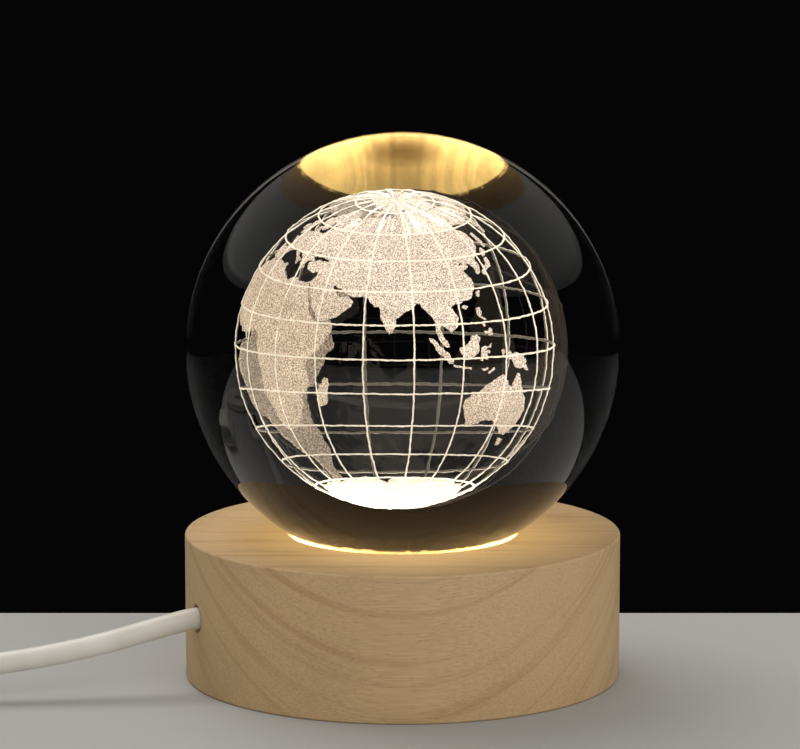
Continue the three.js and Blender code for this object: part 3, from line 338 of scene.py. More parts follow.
def sanded_beech():
    """Beech, turned, drilled and sanded: pale tan with long grain, fine dark dashes and faint rings from the
    lathe. Growth layers curve round a pith below and behind the blank. The fibres and the lathe's rings are
    drawn a few times as coarse as they are, so that they show. Over this lies painted light: a golden glow
    of the well painted as emission on its walls and seat, and a warm glow painted over the top, fading
    outward."""
    material, tree = start_finish("beech_sanded_painted_glow")
    place = add(tree, "TexCoord").outputs["Object"]
    from_pith = add(tree, "SeparateXYZ", [add(tree, "VectorMath", [place, PITH], operation="SUBTRACT")])
    across = add(tree, "CombineXYZ", [0, from_pith.outputs["Y"], from_pith.outputs["Z"]])
    depth = add(tree, "VectorMath", [across], operation="LENGTH").outputs["Value"]
    along_layer = add(tree, "CombineXYZ", [from_pith.outputs["X"], depth])
    layers, fibres, dashes = [
        add(tree, "VectorMath", [start, (1 / length, 1 / width, 1 / width)], operation="MULTIPLY")
        for start, (length, width) in ((along_layer, GROWTH_LAYER), (place, FIBRE), (place, DASH))]
    bands = add(tree, "TexNoise", {"Vector": layers, "Scale": 1.0, "Detail": 4.0, "Roughness": 0.6})
    fibre = add(tree, "TexNoise", {"Vector": fibres, "Scale": 1.0, "Detail": 3.0})
    dash = add(tree, "TexVoronoi", {"Vector": dashes, "Scale": 1.0}).outputs["Distance"]
    cloudy = add(tree, "TexNoise", {"Vector": place, "Scale": 1 / BEECH_CLOUD, "Detail": 2.0})
    # In each growth layer the wood fades from dark to tan, and then turns pale at once.
    wood = add(tree, "ValToRGB", [bands], ramp=[
        (0.25, BEECH_DARK), (0.45, BEECH_MID), (0.45, BEECH_PALE)])
    fine = add(tree, "MapRange", [fibre, 0.3, 0.7, 0.87, 1.07])
    uneven = add(tree, "MapRange", [cloudy, 0.3, 0.7, 0.95, 1.04])
    strength = add(tree, "Math", [fine, uneven], operation="MULTIPLY")
    grained = add(tree, "VectorMath", {0: wood, "Scale": strength}, operation="SCALE")
    flecked = add(tree, "MapRange", [dash, 0.06, 0.17, 0.55, 0])
    colour = add(tree, "Mix", {0: flecked, 6: grained, 7: BEECH_FLECK}, data_type="RGBA").outputs[2]

    point = add(tree, "SeparateXYZ", [place])
    height = point.outputs["Z"]
    flat = add(tree, "CombineXYZ", [point.outputs["X"], point.outputs["Y"]])
    radius = add(tree, "VectorMath", [flat], operation="LENGTH").outputs["Value"]
    lathe = add(tree, "CombineXYZ", [radius, height])
    rings = add(tree, "TexNoise", {"Vector": lathe, "Scale": 1 / LATHE_RING, "Detail": 1.0})
    relief = add(tree, "Math", [fibre, rings], operation="ADD")
    bump = add(tree, "Bump", {"Height": relief, "Strength": 0.3, "Distance": 0.06 * MM})

    # Painted light of the well: a glow painted on its walls in soft patches and faint streaks, painted as
    # beads where it meets the sawn rim of the seat, painted dark near the well's floor, and painted fading
    # outward over the top.
    turn = add(tree, "VectorMath", [flat], operation="NORMALIZE")
    ragged = add(tree, "TexNoise", {"Vector": turn, "Scale": 13.0, "Detail": 3.0})
    glow_beads = add(tree, "MapRange", [ragged, 0.5, 0.64, 0.04, 0.6])
    streaks = add(tree, "MapRange", [ragged, 0.4, 0.62, 0.8, 1.08])
    angle = add(tree, "Math", [point.outputs["Y"], point.outputs["X"]], operation="ARCTAN2")
    angle = add(tree, "Math", [angle, WELL_PATCHES], operation="MULTIPLY")
    patchy = add(tree, "MapRange", [add(tree, "Math", [angle], operation="COSINE"), 1, -1, 0.64, 1.1])
    patchy = add(tree, "Math", [patchy, streaks], operation="MULTIPLY")
    at_rim = add(tree, "MapRange", [radius, *RIM_GLOW_BEADS])
    well = add(tree, "Mix", {0: at_rim, 2: patchy, 3: glow_beads})
    inside_mouth = add(tree, "MapRange", [radius, SEAT_MOUTH_RADIUS - MOUTH_FADE, SEAT_MOUTH_RADIUS, 1, 0])
    above_floor = add(tree, "MapRange", [height, *WELL_SHADOW, 0, WELL_STRENGTH])
    for part in (inside_mouth, above_floor):
        well = add(tree, "Math", [well, part], operation="MULTIPLY")
    # Painted glow over the top of the base, fading outward from the seat.
    falling = add(tree, "MapRange", [radius, *TOP_GLOW, *TOP_GLOW_SHARE])
    over_top = add(tree, "MapRange", [height, BASE_TOP - BASE_EDGE, BASE_TOP - TOP_SKIN])
    on_top = add(tree, "Math", [falling, over_top], operation="MULTIPLY")
    warm = add(tree, "VectorMath", [colour, linear(WARM_LIGHT)[:3]], operation="MULTIPLY")
    over = add(tree, "VectorMath", {0: warm, "Scale": on_top}, operation="SCALE")
    golden = add(tree, "VectorMath", {0: linear(WELL_LIGHT)[:3], "Scale": well}, operation="SCALE")
    glow = add(tree, "VectorMath", [over, golden], operation="ADD")
    add(tree, "OutputMaterial", [add(tree, "BsdfPrincipled", {
        "Base Color": colour, "Roughness": 0.62, "Normal": bump, "IOR": 1.5,
        "Emission Color": glow, "Emission Strength": 1.0})])
    material.cycles.emission_sampling = "NONE"
    return material


base_profile = eased([
    (COVER_SEAT_RADIUS, 0, RECESS_EDGE), (COVER_SEAT_RADIUS, COVER_LEDGE, 0),
    (RECESS_RADIUS, COVER_LEDGE, RECESS_EDGE), (RECESS_RADIUS, CEILING, 0),
    (WELL_RADIUS, CEILING, 0), (*SEAT_FOOT, 0), (SEAT_MOUTH_RADIUS, BASE_TOP, SEAT_EDGE),
    (BASE_RADIUS, BASE_TOP, BASE_EDGE), (BASE_RADIUS, 0, BASE_EDGE),
])
wood_base = turned("turned_base", base_profile, TURNED_SIDES, closed=True)
lead_hole = moved(drill(LEAD_HOLE_RADIUS, *LEAD_HOLE_REACH, ROUND_SIDES), turn=math.pi / 2, axis="Y")
cut_away(wood_base, moved(lead_hole, z=LEAD_EXIT.z, turn=LEAD_HOLE_TURN))
wood_base.data.materials.append(sanded_beech())
place_piece(wood_base, "base", "beech", "wood_base")

# Underside: a round black ABS cover drops into the bottom of the base, held by three countersunk
# screws, and a disc of closed-cell foam is stuck over it as a foot. Three longer screws with nylon
# spacers hang the LED board under the base's top.
PAD_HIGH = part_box("base_pad")[1]
PAD_EDGE = 0.3 * MM
SCREW_ANGLES = [math.radians(30 + 120 * k) for k in range(3)]
COVER_SCREW_CIRCLE = 24.9 * MM
BOARD_SCREW_CIRCLE = 15.95 * MM
# Profiles of radius and height in millimetres, head down, as the screws stand in the base.
COVER_SCREW = [(1.9, 1.2), (1.9, 1.35), (1.0, 2.2), (1.0, 6.6), (0.0, 8.2)]
BOARD_SCREW = [(1.5, 7.5), (1.8, 7.7), (1.8, 8.7), (0.9, 8.7), (0.9, 15.8), (0.0, 17.2)]
SCREW_SIDES = 40
RECESS_LENGTH = 1.9 * MM
RECESS_WIDTH = 0.45 * MM
RECESS_DEPTH = 0.55 * MM
RECESS_CORNER = 0.1 * MM
LEAST_CORNER = 0.02 * MM
MOTTLING = 6.0 * MM
COARSE_GRAIN = 0.5 * MM
COVER_GRAIN = 0.4 * MM
FINE_GRAIN = 0.3 * MM
BRUSHING = (4.0 * MM, 0.08 * MM)
METAL_CLOUD = 2.0 * MM
FOAM_BLACK = "#1E1F21"
FOAM_SHADE = "#141517"
COVER_BLACK = "#26272A"
COVER_SHADE = "#1C1D20"
NYLON_WHITE = "#E8E5DA"
NYLON_SHADE = "#D9D5C8"
ZINC_PALE = "#C3C6CB"
ZINC_SHADE = "#9EA3AA"


def rounded_slab(name, length, width, low, high, corner, ease_low=0.0, ease_high=0.0, steps=5):
    """A slab with rounded corners seen from above, and eased edges below and above."""
    levels = []
    for ease, face, sense in ((ease_low, low, 1), (ease_high, high, -1)):
        arc = [math.pi / 2 * k / steps for k in range(steps + 1)] if ease else [math.pi / 2]
        side = [(ease * (1 - math.sin(a)), face + sense * ease * (1 - math.cos(a))) for a in arc]
        levels += side if sense == 1 else side[::-1]
    verts = []
    for inset, z in levels:
        radius = max(corner - inset, LEAST_CORNER)
        for quarter in range(4):
            turn = quarter * math.pi / 2
            x = (length / 2 - inset - radius) * (1 if quarter in (0, 3) else -1)
            y = (width / 2 - inset - radius) * (1 if quarter in (0, 1) else -1)
            for k in range(steps + 1):
                angle = turn + math.pi / 2 * k / steps
                verts.append((x + radius * math.cos(angle), y + radius * math.sin(angle), z))
    count = 4 * (steps + 1)
    faces = [tuple(range(count - 1, -1, -1)), tuple(range(len(verts) - count, len(verts)))]
    for level in range(len(levels) - 1):
        for k in range(count):
            here, there = level * count + k, level * count + (k + 1) % count
            faces.append((here, there, there + count, here + count))
    return solid_piece(name, verts, faces)


def crosshead_screw(name, profile, x, y, material):
    """A screw with its head down, turned from its profile in millimetres, with a cross recess."""
    low = profile[0][1] * MM
    outline = [(0, low)] + [(radius * MM, height * MM) for radius, height in profile]
    screw = turned(name, outline, SCREW_SIDES)
    bar, crossbar = [
        rounded_slab("recess", RECESS_LENGTH, RECESS_WIDTH, low - MM, low + RECESS_DEPTH, RECESS_CORNER)
        for _ in range(2)]
    cut_away(screw, bar, moved(crossbar, turn=math.pi / 2))
    screw.data.materials.append(material)
    return moved(screw, x, y)


def moulded(name, colour, shade, roughness, grain):
    """Moulded plastic, foam or tape: slight mottling, and the fine grain of its mould or cells,
    drawn two or three times as coarse as it is, so that it shows."""
    material, tree = start_finish(name)
    place = add(tree, "TexCoord").outputs["Object"]
    cloudy = add(tree, "TexNoise", {"Vector": place, "Scale": 1 / MOTTLING, "Detail": 3.0})
    fine = add(tree, "TexNoise", {"Vector": place, "Scale": 1 / grain, "Detail": 2.0})
    tint = add(tree, "ValToRGB", [cloudy], ramp=[(0.35, shade), (0.65, colour)])
    gloss = add(tree, "MapRange", [fine, 0, 1, roughness - 0.08, roughness + 0.08])
    bump = add(tree, "Bump", {"Height": fine, "Strength": 0.15, "Distance": 0.03 * MM})
    add(tree, "OutputMaterial", [add(tree, "BsdfPrincipled", {
        "Base Color": tint, "Roughness": gloss, "Normal": bump})])
    return material


def plated_metal(name, colour, shade, roughness):
    """Plated or stamped metal: bright, with fine brushing along X and a few duller patches. The
    brushing is drawn a few times as coarse as it is, so that it shows."""
    material, tree = start_finish(name)
    place = add(tree, "TexCoord").outputs["Object"]
    length, width = BRUSHING
    brushed = add(tree, "VectorMath", [place, (1 / length, 1 / width, 1 / width)], operation="MULTIPLY")
    lines = add(tree, "TexNoise", {"Vector": brushed, "Scale": 1.0, "Detail": 2.0})
    cloudy = add(tree, "TexNoise", {"Vector": place, "Scale": 1 / METAL_CLOUD, "Detail": 3.0})
    tint = add(tree, "ValToRGB", [cloudy], ramp=[(0.3, shade), (0.7, colour)])
    gloss = add(tree, "MapRange", [lines, 0, 1, roughness - 0.07, roughness + 0.1])
    bump = add(tree, "Bump", {"Height": lines, "Strength": 0.1, "Distance": 0.01 * MM})
    add(tree, "OutputMaterial", [add(tree, "BsdfPrincipled", {
        "Base Color": tint, "Metallic": 1.0, "Roughness": gloss, "Normal": bump})])
    return material


def finish_nodes(slot, material, *names):
    """Gives CAD nodes whose shape stays their material."""
    for name in names:
        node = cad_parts[name]
        node.data.materials.clear()
        node.data.materials.append(material)


foot_foam = moulded("foam_closed_cell", FOAM_BLACK, FOAM_SHADE, 0.92, COARSE_GRAIN)
cover_abs = moulded("cover_abs_textured", COVER_BLACK, COVER_SHADE, 0.55, COVER_GRAIN)
zinc_steel = plated_metal("steel_zinc_plated", ZINC_PALE, ZINC_SHADE, 0.28)
nylon = moulded("nylon_moulded", NYLON_WHITE, NYLON_SHADE, 0.45, FINE_GRAIN)
foot_pad = turned("foot_pad", [(0, 0), (PAD_HIGH.x - PAD_EDGE, 0), (PAD_HIGH.x, PAD_EDGE),
                               (PAD_HIGH.x, PAD_HIGH.z), (0, PAD_HIGH.z)], TURNED_SIDES // 2)
foot_pad.data.materials.append(foot_foam)
place_piece(foot_pad, "base", "foam", "base_pad")
finish_nodes("cover", cover_abs, "bottom_cover")
for number, angle in enumerate(SCREW_ANGLES, 1):
    for kind, profile, circle in (("cover_screw", COVER_SCREW, COVER_SCREW_CIRCLE),
                                  ("board_screw", BOARD_SCREW, BOARD_SCREW_CIRCLE)):
        screw = crosshead_screw(f"{kind}_crosshead_{number}", profile, circle * math.cos(angle),
                                circle * math.sin(angle), zinc_steel)
        place_piece(screw, "base", "steel", f"{kind}_{number}")
    finish_nodes("nylon", nylon, f"board_spacer_{number}")
finish_nodes("nylon", nylon, "cord_tie")

# LED board: a round white board right under the ball's seat, with six warm white LEDs in a ring on
# top, two resistors below, and the ends of the red and black wires soldered to it.
LED_LOW, LED_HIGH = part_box("led_1")
LED_COUNT = 6
LED_SIDES = 32
LED_RING = (LED_LOW.x + LED_HIGH.x) / 2
LED_CUP_RADIUS = 1.15 * MM
LED_CUP_DEPTH = 0.35 * MM
LED_GEL_RISE = 0.12 * MM
LED_CORNER = 0.2 * MM
LED_EDGE = 0.08 * MM
LED_BRIM = 0.1 * MM
LED_STRENGTH = (24.0, 32.0)
LED_GRAIN = 0.4 * MM
SOLDER_MASK = "#F0EFE8"
SOLDER_MASK_SHADE = "#E6E4DA"
GEL_YELLOW = "#FFE08A"
LED_LIGHT = "#FFC46B"
GLAZE_BLACK = "#1D1D20"
GLAZE_SHADE = "#131316"
WIRE_RED = "#B4261F"
WIRE_RED_SHADE = "#9A1C17"
WIRE_BLACK = "#202023"
WIRE_BLACK_SHADE = "#151517"


def lit_phosphor():
    """Warm white LED: a yellow phosphor gel in a moulded cup, alight. Its grains are drawn many
    times as coarse as they are, so that they show."""
    material, tree = start_finish("led_phosphor_lit")
    place = add(tree, "TexCoord").outputs["Object"]
    grain = add(tree, "TexNoise", {"Vector": place, "Scale": 1 / LED_GRAIN, "Detail": 2.0})
    level = add(tree, "MapRange", [grain, 0, 1, *LED_STRENGTH])
    add(tree, "OutputMaterial", [add(tree, "BsdfPrincipled", {
        "Base Color": GEL_YELLOW, "Roughness": 0.4,
        "Emission Color": LED_LIGHT, "Emission Strength": level})])
    return material


def joined(name, *pieces):
    """One object from several pieces, each with its own material."""
    shaper = bmesh.new()
    for number, piece in enumerate(pieces):
        first = len(shaper.faces)
        shaper.from_mesh(piece.data)
        shaper.faces.ensure_lookup_table()
        for face in shaper.faces[first:]:
            face.material_index = number
    mesh = bpy.data.meshes.new(name)
    shaper.to_mesh(mesh)
    shaper.free()
    for piece in pieces:
        mesh.materials.append(piece.data.materials[0])
        bpy.data.objects.remove(piece)
    mesh.set_sharp_from_angle(angle=math.radians(40))
    whole = bpy.data.objects.new(name, mesh)
    bpy.context.scene.collection.objects.link(whole)
    return whole


def surface_mount_led(name, angle):
    """A white cup, open at the top, with a slightly domed disc of gel in it."""
    size = LED_HIGH - LED_LOW
    cup = rounded_slab("cup", size.x, size.y, LED_LOW.z, LED_HIGH.z, LED_CORNER, 0, LED_EDGE)
    floor, over = LED_HIGH.z - LED_CUP_DEPTH, LED_HIGH.z + MM
    bowl = turned("bowl", [(0, floor), (LED_CUP_RADIUS * 0.85, floor),
                           (LED_CUP_RADIUS, over), (0, over)], LED_SIDES)
    cut_away(cup, bowl)
    cup.data.materials.append(nylon)
    brim = LED_HIGH.z - LED_BRIM
    gel = turned("gel", [(0, floor), (LED_CUP_RADIUS * 0.84, floor), (LED_CUP_RADIUS * 0.96, brim),
                         (LED_CUP_RADIUS * 0.6, brim + LED_GEL_RISE * 0.5),
                         (0, brim + LED_GEL_RISE * 0.7)], LED_SIDES)
    gel.data.materials.append(phosphor)
    return moved(moved(joined(name, cup, gel), LED_RING), turn=angle)


phosphor = lit_phosphor()
for number in range(LED_COUNT):
    led = surface_mount_led(f"led_cup_{number + 1}", 2 * math.pi * number / LED_COUNT)
    place_piece(led, "base", "phosphor", f"led_{number + 1}")
board_mask = moulded("board_solder_mask", SOLDER_MASK, SOLDER_MASK_SHADE, 0.4, COARSE_GRAIN)
resistor_glaze = moulded("resistor_glazed", GLAZE_BLACK, GLAZE_SHADE, 0.35, FINE_GRAIN)
red_pvc = extruded_pvc("red_wire_pvc", WIRE_RED, WIRE_RED_SHADE)
black_pvc = extruded_pvc("black_wire_pvc", WIRE_BLACK, WIRE_BLACK_SHADE)
finish_nodes("board", board_mask, "led_board")
finish_nodes("resistor", resistor_glaze, "resistor_1", "resistor_2")
finish_nodes("red_wire", red_pvc, "wire_red", "switch_wire_red_1", "switch_wire_red_2")
finish_nodes("black_wire", black_pvc, "wire_black", "switch_wire_black")

# Glass ball: optical crown glass, sold as crystal, ground and polished to a full sphere 60 mm
# across. It is clear right through, so all that shows of it is what it bends and mirrors. It
# rests loose in its seat.
BALL_LOW, BALL_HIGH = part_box("crystal_ball")
BALL_CENTRE = (BALL_LOW + BALL_HIGH) / 2
BALL_RADIUS = 30.0 * MM
BALL_CUTS = 63
# Such glass bends light by 1.517, but with 1.49 the golden image of the well, at the ball's top,
# has the size that it has in the real lamp.
GLASS_IOR = 1.49


def polished_sphere():
    """A sphere of even quads, drawn out from a cube, so that it has no poles to mark the glass."""
    shaper = bmesh.new()
    bmesh.ops.create_cube(shaper, size=2.0)
    bmesh.ops.subdivide_edges(shaper, edges=shaper.edges, cuts=BALL_CUTS, use_grid_fill=True)
    for vert in shaper.verts:
        even = Vector([math.tan(c * math.pi / 4) for c in vert.co])
        vert.co = even.normalized() * BALL_RADIUS
    mesh = bpy.data.meshes.new("glass_ball")
    shaper.to_mesh(mesh)
    shaper.free()
    mesh.shade_smooth()
    return moved(bpy.data.objects.new("glass_ball", mesh), *BALL_CENTRE)


def polished_crystal():
    """Optical glass, polished: quite clear, with a sharp gloss and a strong bending of light."""
    material, tree = start_finish("crystal_polished")
    add(tree, "OutputMaterial", [add(tree, "BsdfPrincipled", {
        "Base Color": "#FFFFFF", "Roughness": 0.0, "IOR": GLASS_IOR, "Transmission Weight": 1.0})])
    return material


glass_ball = polished_sphere()
glass_ball.data.materials.append(polished_crystal())
place_piece(glass_ball, "ball", "crystal", "crystal_ball")

# Engraved globe: a laser focused inside the glass leaves fine cracks, close together on the land and in
# single rows along the grid lines. The cracks scatter the light from below; that light is painted on them as
# a glow: brightest on the cap at the foot, cream on the side turned outward, and painted dim on the side
# turned inward.
GLOBE_RADIUS = 14.8 * MM
GLOBE_CENTRE = BALL_CENTRE + Vector((-0.74, 0, 0)) * MM
FACING_LONGITUDE = 82.0
GLOBE_TILT = math.radians(-4.2)
PARALLELS = 11
MERIDIANS = 16
LINE_WIDTH = 0.2 * MM
LINE_SIDES = 6
LINE_STEPS = 360
LEAST_STEPS = 48
LINE_WANDER = 0.03 * MM
LINE_STEADINESS = 0.6
LINE_SWELL = (0.72, 1.22)
POLE_INSET = 3.0
LAND_OUTER = GLOBE_RADIUS + 0.02 * MM
LAND_INNER = GLOBE_RADIUS - 0.14 * MM
MAP_STRETCH = (1.038, 1.023)
MAP_SHIFT = -0.3
COAST_STEP = 0.8
COAST_ROUGHNESS = 0.16
LAND_GRID = 2.5
MAP_EAST_EDGE = 190
LAND_SEED = 7
LINE_SEED = 11
# Painted light: the cracks' colours are those of a painted glow; the inward shares, specks and glow over
# land scale that painted glow.
CRACK_CREAM = "#F6E6CB"
LAND_CREAM = "#D4BCA0"
LAND_PAINTED_LIT_CREAM = "#D4C1AD"
CRACK_BASE_KEPT_DARK = "#282422"
CRACK_SIZE = 0.14 * MM
GLOW_CLOUD_SIZE = 2.5 * MM
LAND_INWARD = 0.52
LINE_INWARD = 0.14
LAND_SPECKS = (0.42, 1.5)
LINE_SPECKS = (0.8, 1.12)
OVER_LAND_GLOW = 1.08
# Heights are shares of the globe's radius above its centre: its foot gets the most painted glow, and painted
# rays of light cross its crown.
FOOT_HEIGHTS = (-0.9, -0.78)
FOOT_GLOW = 3.2
CROWN_HEIGHTS = (0.885, 0.93)
CROWN_GLOW = 0.85
CROWN_RAYS = 7.0
# The upper right of the globe is painted brighter and whiter, for the golden light that comes back from the
# ball's top.
LIT_SIDE = (0.5, 0, 0.87)


def globe_place(longitude, latitude, radius):
    """The place in the ball of a longitude and latitude, in degrees, at a radius."""
    east = math.radians(longitude - FACING_LONGITUDE)
    north = math.radians(latitude)
    upright = Vector((math.cos(north) * math.sin(east), -math.cos(north) * math.cos(east),
                      math.sin(north)))
    return GLOBE_CENTRE + Matrix.Rotation(GLOBE_TILT, 3, "X") @ upright * radius


def map_place(longitude, latitude, radius):
    """The same for a place on the engraver's map, which is drawn a little larger than the grid."""
    return globe_place(longitude * MAP_STRETCH[0] + MAP_SHIFT, latitude * MAP_STRETCH[1], radius)
